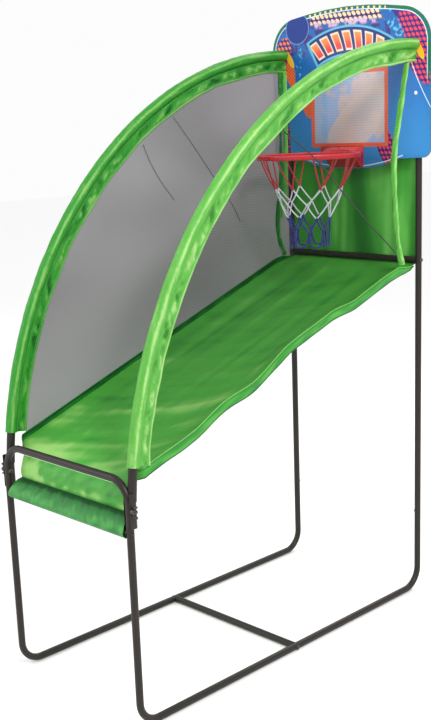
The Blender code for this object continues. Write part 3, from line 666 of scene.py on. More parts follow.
def steps(points, at):
    """Eased interpolation through (position, value) points."""
    for (a, low), (b, high) in zip(points, points[1:]):
        if at < b:
            t = min(1.0, max(0.0, (at - a) / (b - a)))
            return low + (high - low) * t * t * (3 - 2 * t)
    return points[-1][1]


# how far the bottom of the near band hangs above the ramp's plane, from the front to the back
NEAR_LIFT = ((-0.47, 0.002), (-0.438, 0.005), (-0.306, 0.000), (-0.208, 0.012), (-0.123, 0.005),
             (0.008, 0.028), (0.139, 0.027), (0.240, 0.012), (0.327, 0.012), (0.47, 0.003))
BAND_DEPTH = 0.021


def side_top(y, sign):
    """Height of the seam that joins ramp, band and mesh on one side."""
    lift = steps(NEAR_LIFT, y) + BAND_DEPTH if sign > 0 else 0.008
    return ramp_z(y) + lift * min(1.0, max(0.0, (ramp_high.y - 0.012 - y) / 0.07))


def side_x(y):
    """Half the ramp's width: full between the arches, drawn in between the uprights and at the front."""
    free = min(ramp_half + 0.0012, apron_half + 0.004 + (y - ramp_low.y) * 1.4)
    return free - (free - half + tube_r + 0.0015) * min(1.0, max(0.0, (y - rear_y + 0.034) / 0.022))


RAMP_ROWS, RAMP_COLUMNS = 190, 80
rows, folds = [], []
for i in range(RAMP_ROWS + 1):
    y = ramp_low.y + (ramp_high.y - ramp_low.y) * i / RAMP_ROWS
    from_front = y - ramp_low.y
    held = min(1.0, from_front / 0.02)
    front_share = max(0.0, 1 - from_front / 0.55)
    row, tones = [], []
    for j in range(RAMP_COLUMNS + 1):
        u = 2 * j / RAMP_COLUMNS - 1
        ease = (1 - u * u) * min(1.0, from_front / 0.10) * min(1.0, (ramp_high.y - y) / 0.10)
        edge = side_top(y, 1 if u > 0 else -1) - ramp_z(y)
        lift = edge * abs(u) ** 4 * held
        crosswise = ripple(y * 19 - u * 1.5, u * 0.8, 2.0) + 0.6 * ripple(y * 44 - u * 3.6, u * 1.6, 7.0)
        lengthwise = ripple(y * 2.0 + u * 2.0, u * 6.5, 12.0) + 0.4 * ripple(y * 4.0, u * 15.0, 19.0)
        turn_down = -0.012 * max(0.0, 1 - from_front / 0.024) ** 2
        fold = crosswise * (0.40 + 0.70 * front_share) + lengthwise * (0.75 - 0.5 * front_share)
        row.append((u * side_x(y), y, ramp_z(y) - 0.005 * ease + lift + 0.0048 * fold * ease + turn_down))
        # Painted light: a pool of light at the front left, lighter towards the front, painted shade in the
        # crease hollows and along the edges, a painted highlight on the crests
        painted_light_pool = 0.42 * max(0.0, 1 - abs(u + 0.62) / 0.55) * max(0.0, 1 - from_front / 0.16)
        tones.append(0.42 + 0.42 * fold + 0.16 * front_share + painted_light_pool - 0.10 * max(0.0, abs(u) - 0.93) / 0.07)
    rows.append(row)
    folds.append(tones)
ramp = sheet_mesh("ramp_satin", rows, folds=folds)
settle(ramp, satin_ramp, ["ramp"])


# ---- Bands along the ramp's sides -----------------------------------------------------------
# A strip of satin hangs along each side of the ramp, where mesh and ramp are sewn together. Its lower edge
# is piped, and it waves where the cloth is gathered.
tape_light = satin("tape_light", (0.030, 0.20, 0.018), (0.10, 0.40, 0.05), (0.26, 0.56, 0.14), 160.0)
for side, sign in SIDES:
    y0, y1 = ramp_low.y + 0.002, ramp_high.y - 0.014
    rows, folds, top_line, low_line = [], [], [], []
    for i in range(201):
        y = y0 + (y1 - y0) * i / 200
        top = side_top(y, sign) + (0.0 if sign > 0 else 0.013 * min(1.0, (y1 + 0.01 - y) / 0.05))
        depth = BAND_DEPTH * min(1.0, (y1 + 0.01 - y) / 0.08)
        row, tones = [], []
        for j in range(9):
            v = j / 8
            lean = 0.0030 * ripple(y * 17, v * 1.2, 30.0 + sign) * (1 - v) + 0.0015 * (1 - v)
            out = side_x(y) + (lean if sign > 0 else -0.001)
            row.append(Vector((sign * out, y, top - depth * (1 - v))))
            # Painted shade along the top of the band, under the seam
            tones.append(0.26 + 0.42 * ripple(y * 22, v * 2.2, 33.0 + sign) - (0.25 if j > 5 else 0.0))
        rows.append(row)
        folds.append(tones)
        top_line.append(row[-1] + Vector((sign * 0.0010, 0, 0)))
        low_line.append(row[0] + Vector((sign * 0.0004, 0, 0)))
    band = thick(sheet_mesh(side + "_band", rows, folds=folds), side + "_ramp_band", 0.0012, 0.0)
    # The far band takes the darker satin, painted shade
    settle(band, satin_ramp if sign > 0 else satin_painted_shade)
    piping = rod(side + "_band_piping", [top_line], 0.0010, 2)
    piping_tone = piping.data.attributes.new("fold", "FLOAT", "POINT")
    piping_tone.data.foreach_set("value", [0.7] * len(piping.data.vertices))
    settle(piping, tape_light if sign > 0 else satin_painted_shade)
    settle(rod(side + "_band_hem", [low_line], 0.0012, 2), satin_painted_shade)


# ---- Front apron and pocket -----------------------------------------------------------------
# The ramp's cloth turns down behind the gate to a stitched crease. Below the crease a pocket goes round the
# lower bar, and its slack front bulges towards the player.
bar_z = (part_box("front_lower_bar")[0].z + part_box("front_lower_bar")[1].z) / 2
crease_y, crease_z = rear_y - 0.9480, 0.461
pocket_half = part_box("front_hem")[1].x


def sweep_x(name, profile, shape, columns=160, half_of=lambda t: apron_half):
    """A strip whose section is profile. Shape gives each point's move in y, in z, and its fold."""
    rows, folds = [], []
    for i in range(columns + 1):
        u = 2 * i / columns - 1
        row, tones = [], []
        for j, (y, z) in enumerate(profile):
            t = j / (len(profile) - 1)
            dy, dz, tone = shape(u, t)
            row.append((u * half_of(t), y + dy, z + dz))
            tones.append(tone)
        rows.append(row)
        folds.append(tones)
    return sheet_mesh(name, rows, folds=folds)


def apron_shape(u, t):
    billow = ripple(u * 3.5, t * 1.2, 61.0) + 0.5 * ripple(u * 9 + t * 2, t * 2.5, 66.0)
    # Painted highlight near the crease and over the left half, painted shade right at the crease
    shine = 0.35 * max(0.0, 1 - abs(t - 0.80) / 0.22) * (0.5 + ripple(u * 6, 69.0)) + 0.20 * max(0.0, -u)
    tone = 0.52 + 0.55 * billow + shine - 0.5 * max(0.0, t - 0.94) / 0.06
    return 0.0045 * billow * math.sin(math.pi * t), 0.0, tone


apron_top_y, apron_top_z = ramp_low.y - 0.0004, ramp_low.z - 0.0115
apron_profile = [(apron_top_y + (crease_y - apron_top_y) * t - 0.006 * math.sin(math.pi * t),
                  apron_top_z + (crease_z - apron_top_z) * t) for t in [i / 20 for i in range(21)]]
apron = thick(sweep_x("apron", apron_profile, apron_shape), "front_apron_satin", 0.0010)
settle(apron, satin_ramp)


def pocket_shape(u, t):
    pucker = ripple(u * 8 + t * 2, t * 3.4, 71.0) + 0.6 * ripple(u * 19 - t * 3, t * 6, 77.0)
    free = math.sin(math.pi * min(1.0, t * 2.4)) if t < 0.42 else 0.0
    # Painted highlight across the middle of the bulge, painted shade just under the crease
    tone = 0.30 + 0.42 * math.sin(math.pi * min(1.0, t / 0.55)) ** 2 + 0.24 * pucker
    return -0.0016 * free * (1 + pucker), 0.0006 * pucker * free, tone - 0.5 * max(0.0, 1 - t / 0.06)


def pocket_width(t):
    """Half the pocket's width, from the crease round under the bar and back up to the crease."""
    swell = math.sin(math.pi * min(1.0, t * 1.15)) ** 0.7
    return apron_half + 0.002 + (pocket_half - apron_half - 0.002) * swell


ROLL = 0.0112                         # the pocket's radius round the lower bar
bulge = []
for i in range(11):                   # front face, from the crease down to the bar's front
    t = i / 10
    bulge_y = crease_y + (front_y - ROLL - crease_y) * t ** 0.6
    bulge.append((bulge_y, crease_z - 0.001 + (bar_z - crease_z) * t))
for i in range(1, 12):                # round under the bar
    angle = math.pi * i / 11
    bulge.append((front_y - ROLL * math.cos(angle), bar_z - ROLL * math.sin(angle)))
for i in range(1, 9):                 # rear face, back up to the crease
    t = i / 8
    bulge.append((front_y + ROLL + (crease_y + 0.0014 - front_y - ROLL) * t, bar_z + (crease_z - bar_z) * t))
pocket = thick(sweep_x("pocket", bulge, pocket_shape, half_of=pocket_width), "front_pocket_satin", 0.0010, 0.0)
settle(pocket, satin_painted_shade, ["front_hem"])


# ---- Back panel -----------------------------------------------------------------------------
# A satin curtain between the uprights, below and behind the board. It hangs in soft upright folds.
panel_low, panel_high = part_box("back_panel")
rows, folds = [], []
for i in range(61):
    z = panel_low.z + (panel_high.z - panel_low.z) * i / 60
    row, tones = [], []
    for j in range(161):
        x = 0.0075 * (j / 80 - 1) + panel_low.x + (panel_high.x - panel_low.x) * j / 160
        hang = 1 - 0.5 * i / 60
        fold = ripple(x * 15 + z * 2.0, z * 1.5, 81.0) + 0.5 * ripple(x * 42 - z * 2.5, z * 2.5, 85.0)
        free = 1 - abs(j / 80 - 1) ** 8
        row.append((x, rear_y + tube_r + 0.0016 + (0.0012 + 0.0040 * fold * hang) * free, z))
        # Painted shade in the fold hollows and a painted highlight on the crests, lighter towards +x
        tones.append(0.42 + 0.80 * fold * (0.4 + 0.6 * hang) + 0.22 * max(0.0, x / panel_high.x - 0.3))
    rows.append(row)
    folds.append(tones)
panel = sheet_mesh("back_panel_satin", rows, folds=folds)
settle(panel, satin_panel, ["back_panel"])


# ---- Side meshes ----------------------------------------------------------------------------
# Fine dark net, sewn into the sleeve's binding and into the ramp's band. It is taut along the arch and
# slightly slack towards the back. Thin dark lines run down each one, on the slant.
def netting(name, thread, cover, course, ribs):
    net = Shader(name, Roughness=0.8, Specular_IOR_Level=0.1)
    spot = net.place()
    _, along, up = net.axes(spot)
    cloudy = net.grain(net.stretch(spot, (1.0, 0.7, 1.3)), 2.6, 1.0)
    shade = (up - along * 0.42 - 0.995).size().under(0.075, 0.070) * 0.30
    weft = up.fold(course).over(course / 4, course / 5)
    warp = along.fold(course * 0.6).over(course * 0.15, course * 0.1)
    net.wear(Base_Color=net.mix(cloudy.over(0.46, 0.20) - shade, thread, tuple(c * 1.55 for c in thread)),
             Alpha=cover + (weft * 0.7 + warp * 0.3 - 0.5) * ribs)
    return net


mesh_far = netting("netting_far", (0.155, 0.148, 0.156), 0.93, 0.0040, 0.05)
mesh_near = netting("netting_near", (0.006, 0.007, 0.006), 0.20, 0.0056, 0.14)
dark_line_thread = Shader("dark_line_thread", Roughness=0.8)
lint = dark_line_thread.grain(dark_line_thread.place(), 500.0, 2.0)
dark_line_thread.wear(Base_Color=dark_line_thread.mix(lint, (0.012, 0.014, 0.012), (0.045, 0.048, 0.042)))
mesh_radius = arch_radius - BINDING_IN + 0.0035
MESH_COLUMNS, MESH_ROWS = 100, 60
NETTING_DARK_LINES = {                     # as (y, z) points
    "right": [[(-0.006, 1.190), (0.098, 1.126), (0.197, 1.043), (0.288, 0.967), (0.389, 0.890)]],
    "left": [[(0.059, 1.232), (0.114, 1.170), (0.197, 1.071), (0.2485, 1.012), (0.280, 0.962)],
             [(-0.039, 1.169), (-0.020, 1.128), (0.010, 1.082), (0.052, 1.034)]]}


def strap_route(sign):
    """Points down the rear strap as (y, z), from the sleeve to the ramp's rear corner."""
    if sign < 0:
        return [(0.449, 1.338), (0.449, 1.180), (0.445, 1.060), (0.428, 0.960), (0.433, 0.900),
                (0.452, 0.856)]
    return [(0.437, 1.338), (0.410, 1.227), (0.386, 1.112), (0.391, 0.993), (0.404, 0.905),
            (0.418, 0.858)]


def along_route(route, t):
    """A smooth point at share t of a route of (y, z) points."""
    spot = t * (len(route) - 1)
    i = min(int(spot), len(route) - 2)
    a, b = Vector(route[i]), Vector(route[i + 1])
    before = Vector(route[max(i - 1, 0)])
    after = Vector(route[min(i + 2, len(route) - 1)])
    f = spot - i
    return 0.5 * (2 * a + (b - before) * f + (2 * before - 5 * a + 4 * b - after) * f * f
                  + (3 * a - before - 3 * b + after) * f ** 3)


def billow(y, z, sign):
    """How far the net bulges sideways."""
    return 0.005 * ripple(y * 3, z * 3, 90.0 + sign) + 0.0015 * ripple(y * 9, z * 9, 94.0 + sign)


for side, sign in SIDES:
    route = strap_route(sign)[::-1] if sign > 0 else [(rear_y - 0.0095, 0.848), (rear_y - 0.0095, 1.336)]
    start_angle, end_angle = math.radians(7.2), math.acos((arch_y - route[-1][0]) / mesh_radius)
    front = arch_point(start_angle, mesh_radius)
    foot_y = route[0][0]
    low_end, top_end = Vector((foot_y, side_top(foot_y, sign))), arch_point(end_angle, mesh_radius).yz
    rows = []
    for i in range(MESH_COLUMNS + 1):
        t = i / MESH_COLUMNS
        top = arch_point(start_angle + (end_angle - start_angle) * t, mesh_radius).yz
        low_y = front.y + 0.004 + (foot_y - front.y - 0.004) * t
        low = Vector((low_y, side_top(low_y, sign)))
        row = []
        for j in range(MESH_ROWS + 1):
            v = j / MESH_ROWS
            at = low.lerp(top, v) + (along_route(route, v) - low_end.lerp(top_end, v)) * t ** 5
            taut = math.sin(math.pi * v) * math.sin(math.pi * min(1.0, t * 0.9))
            row.append((sign * half + billow(at.x, at.y, sign) * taut, at.x, at.y))
        rows.append(row)
    net_side = sheet_mesh(side + "_side_netting", rows)
    settle(net_side, mesh_near if sign > 0 else mesh_far, [side + "_side_mesh"])
    lines = []
    for run in NETTING_DARK_LINES[side]:
        spots = [along_route(run, i / 60) for i in range(61)]
        lines.append([(sign * half + billow(s.x, s.y, sign) * 0.6 + 0.0022, s.x, s.y) for s in spots])
    settle(rod(side + "_netting_seams", lines, 0.0015 if sign > 0 else 0.00055, 2), dark_line_thread)


# ---- Rear straps ----------------------------------------------------------------------------
# The rear edge of each mesh has a folded green tape that hangs from the sleeve to the ramp's corner. The far
# one is in the darker satin, painted shade, with a lighter tape behind it.
def tape_rows(route, sign, width, twist, seed, shift=0.0):
    rows, folds = [], []
    for i in range(141):
        t = i / 140
        middle = along_route(route, t)
        turn = twist + 0.45 * ripple(t * 6, seed)
        wide = width * (1 + 0.12 * ripple(t * 20, seed + 5))
        row, tones = [], []
        for j in range(9):
            u = j / 4 - 1
            curl = 0.0012 * ripple(t * 26, u * 1.5, seed + 9)
            row.append((sign * half + shift + u * wide * math.sin(turn) + curl,
                        middle[0] + u * wide * math.cos(turn),
                        middle[1] + 0.0006 * ripple(t * 40, u)))
            # The tone for the satin's painted shade and highlight, lighter towards one edge of the tape
            tones.append(0.58 + 0.40 * ripple(t * 24 + u, u * 0.8, seed + 13) + 0.25 * u)
        rows.append(row)
        folds.append(tones)
    return rows, folds


for side, sign in SIDES:
    route = strap_route(sign)
    twist, shift = (0.2, -0.0025) if sign > 0 else (0.0, 0.0)
    rows, folds = tape_rows(route, sign, 0.0085, twist, 5.0 + sign, shift)
    tape = thick(sheet_mesh(side + "_tape", rows, folds=folds), side + "_strap_tape", 0.0014, 0.0)
    settle(tape, tape_light if sign > 0 else satin_painted_shade, [side + "_rear_strap"])
rows, folds = tape_rows([(y + 0.0145, z) for y, z in strap_route(-1)[:4]], -1, 0.0060, 0.1, 21.0, 0.004)
inner_tape = thick(sheet_mesh("inner_tape", rows, folds=folds), "left_inner_tape", 0.0012, 0.0)
settle(inner_tape, tape_light)


# ---- Backboard ------------------------------------------------------------------------------
# A thin varnished board with rounded corners. Its print is a blue field with a green border, a red target
# frame, an arc of plain orange bars and clusters of dots.
board_low, board_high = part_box("backboard")
corner_r, foot_r = 0.085, 0.022
corner_x, corner_z = 0.165, 1.383     # the middle of the upper corner's arc
foot_x, foot_z = board_high.x - foot_r, board_low.z + 0.026 + foot_r
outline = [(0.0, board_low.z), (0.070, board_low.z + 0.002), (0.115, board_low.z + 0.010),
           (0.160, board_low.z + 0.024)]
outline += [(foot_x + foot_r * math.cos(a), foot_z + foot_r * math.sin(a))
            for a in [math.radians(-90 + 10 * i) for i in range(10)]]
outline += [(board_high.x - corner_r + corner_r * math.cos(a), corner_z + corner_r * math.sin(a))
            for a in [math.radians(84 * i / 20) for i in range(21)]]
outline += [(0.125, board_high.z - 0.0080), (0.065, board_high.z - 0.0022), (0.0, board_high.z)]
outline += [(-x, z) for x, z in reversed(outline[1:-1])]
mesh = bpy.data.meshes.new("board")
mesh.from_pydata([(x, board_low.y, z) for x, z in outline], [], [tuple(range(len(outline)))])
board = bpy.data.objects.new("board_blank", mesh)
bpy.context.scene.collection.objects.link(board)
wall = board.modifiers.new("thickness", "SOLIDIFY")
wall.thickness, wall.offset = board_high.y - board_low.y, -1.0 if mesh.polygons[0].normal.y < 0 else 1.0
edge = board.modifiers.new("soft_edge", "BEVEL")
edge.width, edge.segments, edge.limit_method = 0.0008, 2, "ANGLE"
board = finish_mesh(plain_mesh(board, "backboard_panel"), 30)

NAVY, BLUE, SKY = (0.005, 0.026, 0.17), (0.016, 0.12, 0.40), (0.036, 0.23, 0.55)
PURPLE, ORANGE, RED = (0.040, 0.018, 0.17), (0.80, 0.20, 0.045), (0.70, 0.030, 0.040)
CREAM, TEAL, WHITE = (0.84, 0.64, 0.34), (0.006, 0.15, 0.075), (0.70, 0.78, 0.95)
YELLOW, PINK, CYAN = (0.84, 0.48, 0.03), (0.78, 0.06, 0.09), (0.10, 0.46, 0.66)
printed = Shader("printed_board", Roughness=0.28, Specular_IOR_Level=0.3)
px, py, pz = printed.axes(printed.place())


def length2(a, b):
    square = a * a + b * b
    return square.calc("SQRT", square)


def disc(x, z, radius, soft=0.0012):
    return length2(px - x, pz - z).under(radius, soft)


def slab(x0, x1, z0, z1, soft=0.0010):
    return px.between(x0, x1, soft) * pz.between(z0, z1, soft)


def slanted(x, z, angle, length, width):
    """A soft ellipse of the given half length and half width, turned by angle degrees."""
    c, s = math.cos(math.radians(angle)), math.sin(math.radians(angle))
    u = ((px - x) * c + (pz - z) * s) / length
    v = ((pz - z) * c - (px - x) * s) / width
    return length2(u, v).under(1.0, 0.07)


def dots(pitch, radius, shift=0.0):
    """Round dots on a slanted grid."""
    u = (px + pz * 0.5 + shift).fold(pitch)
    v = (pz + shift).fold(pitch)
    return length2(u, v).under(radius, radius * 0.2)


def lattice(pitch, line, soft):
    """Thin crossed lines on the slant."""
    return (px + pz).fold(pitch).under(line, soft).most((px - pz).fold(pitch).under(line, soft))


def paint(under, mask, colour):
    return printed.mix(mask, under, colour)


def paint_dots(under, area, pitch, radius, colour, shift=0.0):
    """A purple patch with dots on it."""
    return paint(paint(under, area, PURPLE), area * dots(pitch, radius, shift), colour)


wobble = printed.grain(printed.place(), 34.0, 3.0)
cloud = printed.grain(printed.place(), 90.0, 3.0)
art = printed.mix((pz + (wobble - 0.5) * 0.05).over(1.25, 0.12), SKY, BLUE)
upper = pz.over(1.372, 0.012)
art = paint(art, upper * 0.9, printed.mix(wobble.over(0.48, 0.05), BLUE, PURPLE))
left_strip = (px + (wobble - 0.5) * 0.02).under(-0.196, 0.003)
art = paint(art, left_strip * pz.under(1.25, 0.02), PURPLE)
art = paint(art, left_strip * pz.under(1.24, 0.02) * dots(0.011, 0.0036) * cloud.over(0.46), RED)
crescent = slanted(-0.180, 1.325, -62, 0.052, 0.022) * (1.0 - slanted(-0.158, 1.345, -62, 0.050, 0.018))
diamonds = lattice(0.0095, 0.0013, 0.0006)
art = paint(art, crescent, printed.mix(diamonds, ORANGE, RED))
flame = slanted(-0.132, 1.262, 100, 0.046, 0.020)
art = paint(art, flame, ORANGE)
art = paint(art, flame * diamonds, RED)
art = paint_dots(art, slanted(0.210, 1.378, -68, 0.100, 0.040), 0.0125, 0.0046, PINK)
art = paint_dots(art, slanted(-0.214, 1.385, 62, 0.040, 0.026), 0.0125, 0.0044, ORANGE, 0.004)
art = paint_dots(art, slanted(0.120, 1.140, -64, 0.066, 0.026), 0.012, 0.0042, PINK, 0.002)
art = paint_dots(art, slab(-0.118, 0.112, 1.446, 1.470, 0.003), 0.0145, 0.0056, CREAM)
haze = slab(-0.105, 0.112, 1.437, 1.451, 0.005)
art = paint(art, haze * wobble.over(0.5, 0.05), (0.62, 0.42, 0.62))

hub_z = 1.170                         # the arc of bars is struck from this height
reach = length2(px, pz - hub_z)
turn = printed.add("Math", {"operation": "ARCTAN2"}, [px, pz - hub_z])
arc_panel = reach.between(0.196, 0.268, 0.002) * turn.between(-0.52, 0.60, 0.01)
art = paint(art, arc_panel, CYAN)
arc_field = reach.between(0.201, 0.263, 0.001) * turn.between(-0.49, 0.57, 0.006)
art = paint(art, arc_field, NAVY)
across_bar = (turn + reach * 1.2).fold(0.145)
bars = reach.between(0.208, 0.256, 0.001) * across_bar.under(0.052, 0.005)
art = paint(art, bars * arc_field, (0.86, 0.66, 0.52))
bar_faces = reach.between(0.213, 0.251, 0.001) * across_bar.under(0.039, 0.005)
bar_colour = printed.mix(reach.over(0.234, 0.014), (0.70, 0.045, 0.035), (0.84, 0.24, 0.06))
art = paint(art, bar_faces * arc_field, bar_colour)

splash = slanted(0.135, 1.440, -52, 0.062, 0.015).most(slanted(-0.160, 1.345, 84, 0.055, 0.012))
art = paint(art, splash, BLUE)
art = paint(art, splash * cloud.over(0.58, 0.04), CYAN)
boundary = px - 0.178 - (1.385 - pz) * (0.30 + (1.385 - pz) * 1.1)
lower_right = boundary.size().under(0.0011, 0.0006) * pz.between(1.225, 1.385) * px.over(0.17)
art = paint(art, slanted(0.219, 1.362, -62, 0.023, 0.0085), YELLOW)
art = paint(art, slanted(-0.190, 1.366, -58, 0.024, 0.0085), YELLOW)
art = paint(art, lower_right, WHITE)

art = paint(art, slab(-0.119, 0.126, 1.141, 1.331), (0.78, 0.13, 0.06))
swirl_lines = (length2(px - 0.10, pz - 1.19) * 60.0 + wobble * 9.0).sine()
pane = printed.mix(swirl_lines.over(0.2, 0.5), (0.62, 0.50, 0.50), (0.36, 0.47, 0.72))
pane = printed.mix(slanted(0.03, 1.20, 40, 0.13, 0.055) * 0.8, pane, (0.68, 0.55, 0.52))
pane = printed.mix(px.under(-0.066, 0.006) * 0.6, pane, (0.22, 0.42, 0.70))
art = paint(art, slab(-0.108, 0.115, 1.151, 1.321), pane)
cross_hatch = lattice(0.0075, 0.0010, 0.0005)
mount_patch = slab(-0.090, 0.050, 1.122, 1.143)
art = paint(art, mount_patch, printed.mix(cross_hatch, RED, (0.35, 0.02, 0.02)))

# the printed border follows the board's outline
inset_x = 0.250 - px.size()
arc_inset = corner_r - length2((px.size() - corner_x).most(0.0), (pz - corner_z).most(0.0))
crown = 1.4825 - pz - px * px * 0.50
border_near = inset_x.least(crown).least(printed.add("Mix", {"data_type": "FLOAT"}, {
    0: px.size().over(corner_x, 0.0005) * pz.over(corner_z, 0.0005), 2: 1.0, 3: arc_inset}))
high_side = pz.over(1.30, 0.02)
art = paint(art, border_near.under(0.0085, 0.0006) * high_side, TEAL)
ticks = (border_near.under(0.0085, 0.0006) * border_near.over(0.0030, 0.0006)
         * px.fold(0.017).under(0.0030, 0.0008))
art = paint(art, ticks * pz.over(1.455, 0.002) * px.between(-0.13, 0.12), CREAM)
art = paint(art, border_near.between(0.0088, 0.0108, 0.0006) * high_side, WHITE)
low_edge = (pz - board_low.z - px * px * 0.95).between(0.0035, 0.0060, 0.0006)
art = paint(art, low_edge * px.between(-0.16, 0.17) * pz.under(1.14), WHITE)
ball = disc(-0.163, 1.442, 0.0375)
art = paint(art, disc(-0.163, 1.442, 0.0390), (0.20, 0.34, 0.70))
weave = lattice(0.0042, 0.0006, 0.0005)
art = paint(art, ball, printed.mix(weave, NAVY, (0.012, 0.045, 0.28)))
front_face = py.under(board_low.y + 0.0004, 0.0002)
art = printed.mix(front_face, (0.02, 0.10, 0.22), art)
printed.wear(Base_Color=art, Roughness=0.26 + cloud * 0.10,
             Normal=printed.bump(printed.grain(printed.place(), 1500.0, 2.0), 0.0001, 0.25))
settle(board, printed, ["backboard"])


# ---- Rim ------------------------------------------------------------------------------------
# A glossy red moulding: a flat-topped ring, and a wedge that carries it on the board. Its upper edges carry
# a painted highlight and its lower edges painted shade.
rim_low, rim_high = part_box("rim")
ring_r = (rim_high.x - rim_low.x) / 2
rim_y = rim_low.y + ring_r
rim_z = 1.125
red_gloss = Shader("red_gloss", Specular_IOR_Level=0.5, Coat_Weight=0.2, Coat_Roughness=0.12)
flow = red_gloss.grain(red_gloss.place(), 18.0, 3.0)
_, _, rim_height = red_gloss.axes(red_gloss.place())
red_with_painted_light = red_gloss.mix(flow, (0.50, 0.005, 0.016), (0.64, 0.012, 0.026))
# A painted highlight along the top edge and painted shade along the lower edge
red_with_painted_light = red_gloss.mix(rim_height.over(rim_z + 0.0035, 0.0025) * 0.5, red_with_painted_light, (0.86, 0.10, 0.10))
red_with_painted_light = red_gloss.mix(rim_height.under(rim_z - 0.0035, 0.003) * 0.6, red_with_painted_light, (0.28, 0.003, 0.012))
red_gloss.wear(Base_Color=red_with_painted_light,
               Roughness=0.22 + flow * 0.14, Normal=red_gloss.bump(flow, 0.0006, 0.3))
section = []
for edge_r, edge_z, first in ((-0.0022, 0.0038, 0), (-0.0088, 0.0038, 90), (-0.0088, -0.0038, 180),
                              (-0.0022, -0.0038, 270)):
    for step in range(5):
        a = math.radians(first + step * 22.5)
        section.append((ring_r + edge_r + 0.0022 * math.cos(a), edge_z + 0.0022 * math.sin(a)))
rows = []
for i in range(97):
    a = 2 * math.pi * i / 96
    rows.append([(r * math.sin(a), rim_y - r * math.cos(a), rim_z + h) for r, h in section])
ring = sheet_mesh("ring", rows, closed=True)
arm_half, arm_low_z, arm_top_z = 0.050, rim_low.z, rim_high.z
mouth = rim_y + math.sqrt((ring_r - 0.0055) ** 2 - arm_half ** 2)
side_view = [(mouth, rim_z + 0.0055), (rim_y + ring_r, arm_top_z - 0.002), (board_front - 0.0004, arm_top_z),
             (board_front - 0.0004, arm_low_z), (board_front - 0.009, arm_low_z), (mouth, rim_z - 0.0055)]
rows = [[(x, y, z) for y, z in side_view] for x in (-arm_half, arm_half)]
arm = sheet_mesh("arm", rows, closed=True, capped=True)
soften = arm.modifiers.new("soft_edges", "BEVEL")
soften.width, soften.segments = 0.0016, 3
hollow = rod("hollow", [[(0, rim_y, rim_z - 0.05), (0, rim_y, rim_z + 0.05)]], ring_r - 0.0055, 24)
boolean(arm, hollow, "DIFFERENCE")
boolean(ring, arm, "UNION")
ring = plain_mesh(ring, "rim_moulding")
for used in (arm, hollow):
    bpy.data.objects.remove(used)
finish_mesh(ring, 35)
settle(ring, red_gloss, ["rim"])


# ---- Net ------------------------------------------------------------------------------------
# Knotted cord in three colours, tied under the ring: red to the first row of knots, white through the
# diamonds, and blue in the slack loops at the bottom.
def cord_finish(name, dark, pale):
    cord = Shader(name, Roughness=0.7, Sheen_Weight=0.3)
    spun = cord.add("TexWave", {"bands_direction": "DIAGONAL"}, {"Vector": cord.place(), "Scale": 260.0,
                                                                "Distortion": 2.0})
    fuzz = cord.grain(cord.place(), 700.0, 2.0)
    cord.wear(Base_Color=cord.mix(spun * 0.7 + fuzz * 0.3, dark, pale), Normal=cord.bump(spun, 0.0005, 0.6))
    return cord


red_cord = cord_finish("red_cord", (0.30, 0.004, 0.012), (0.62, 0.016, 0.028))
white_cord = cord_finish("white_cord", (0.50, 0.50, 0.62), (0.88, 0.88, 0.94))
blue_cord = cord_finish("blue_cord", (0.006, 0.008, 0.11), (0.022, 0.030, 0.34))
LOOPS = 8
levels = ((rim_z - 0.006, ring_r - 0.010), (1.050, 0.087), (1.012, 0.070), (0.977, 0.055), (0.944, 0.048),
          (0.909, 0.047))


def knot(level, place):
    """Where a knot hangs: place counts round the net, and half places lie between two loops."""
    z, radius = levels[level]
    loose = 0.004 if level else 0.0
    jitter = [ripple(level * 3.1, place % LOOPS * 2.3, k * 5.0) * loose for k in range(3)]
    a = 2 * math.pi * (place + 0.30) / LOOPS
    return Vector((radius * math.sin(a) + jitter[0], rim_y - radius * math.cos(a) + jitter[1], z + jitter[2]))


def slack_cord(a, b, slack, steps=10):
    """A cord from a to b that hangs a little below the straight line."""
    sideways = Vector((ripple(a.x * 40, b.z * 31), ripple(a.y * 40, b.x * 31), 0.0)) * slack
    return [a.lerp(b, i / steps) + (Vector((0, 0, -slack)) + sideways) * math.sin(math.pi * i / steps)
            for i in range(steps + 1)]


red, white, blue, ties = [], [], [], {"red": [], "white": [], "blue": []}
for n in range(LOOPS):
    first = knot(1, n)
    for spread in (-0.27, 0.27):
        red.append(slack_cord(knot(0, n + spread), first, 0.0035))
    ties["red"].append(first)
    for to in (-0.5, 0.5):
        white.append(slack_cord(first, knot(2, n + to), 0.0025))
        white.append(slack_cord(knot(2, n + to), knot(3, n), 0.0020))
    ties["white"].append(knot(2, n + 0.5))
    for to in (-0.5, 0.5):
        blue.append(slack_cord(knot(3, n), knot(4, n + to), 0.0030))
        blue.append(slack_cord(knot(4, n + to), knot(5, n + to * 0.7), 0.0030))
    ties["blue"] += [knot(3, n), knot(4, n + 0.5)]
    blue.append(slack_cord(knot(5, n - 0.35), knot(5, n + 0.35), 0.0050))


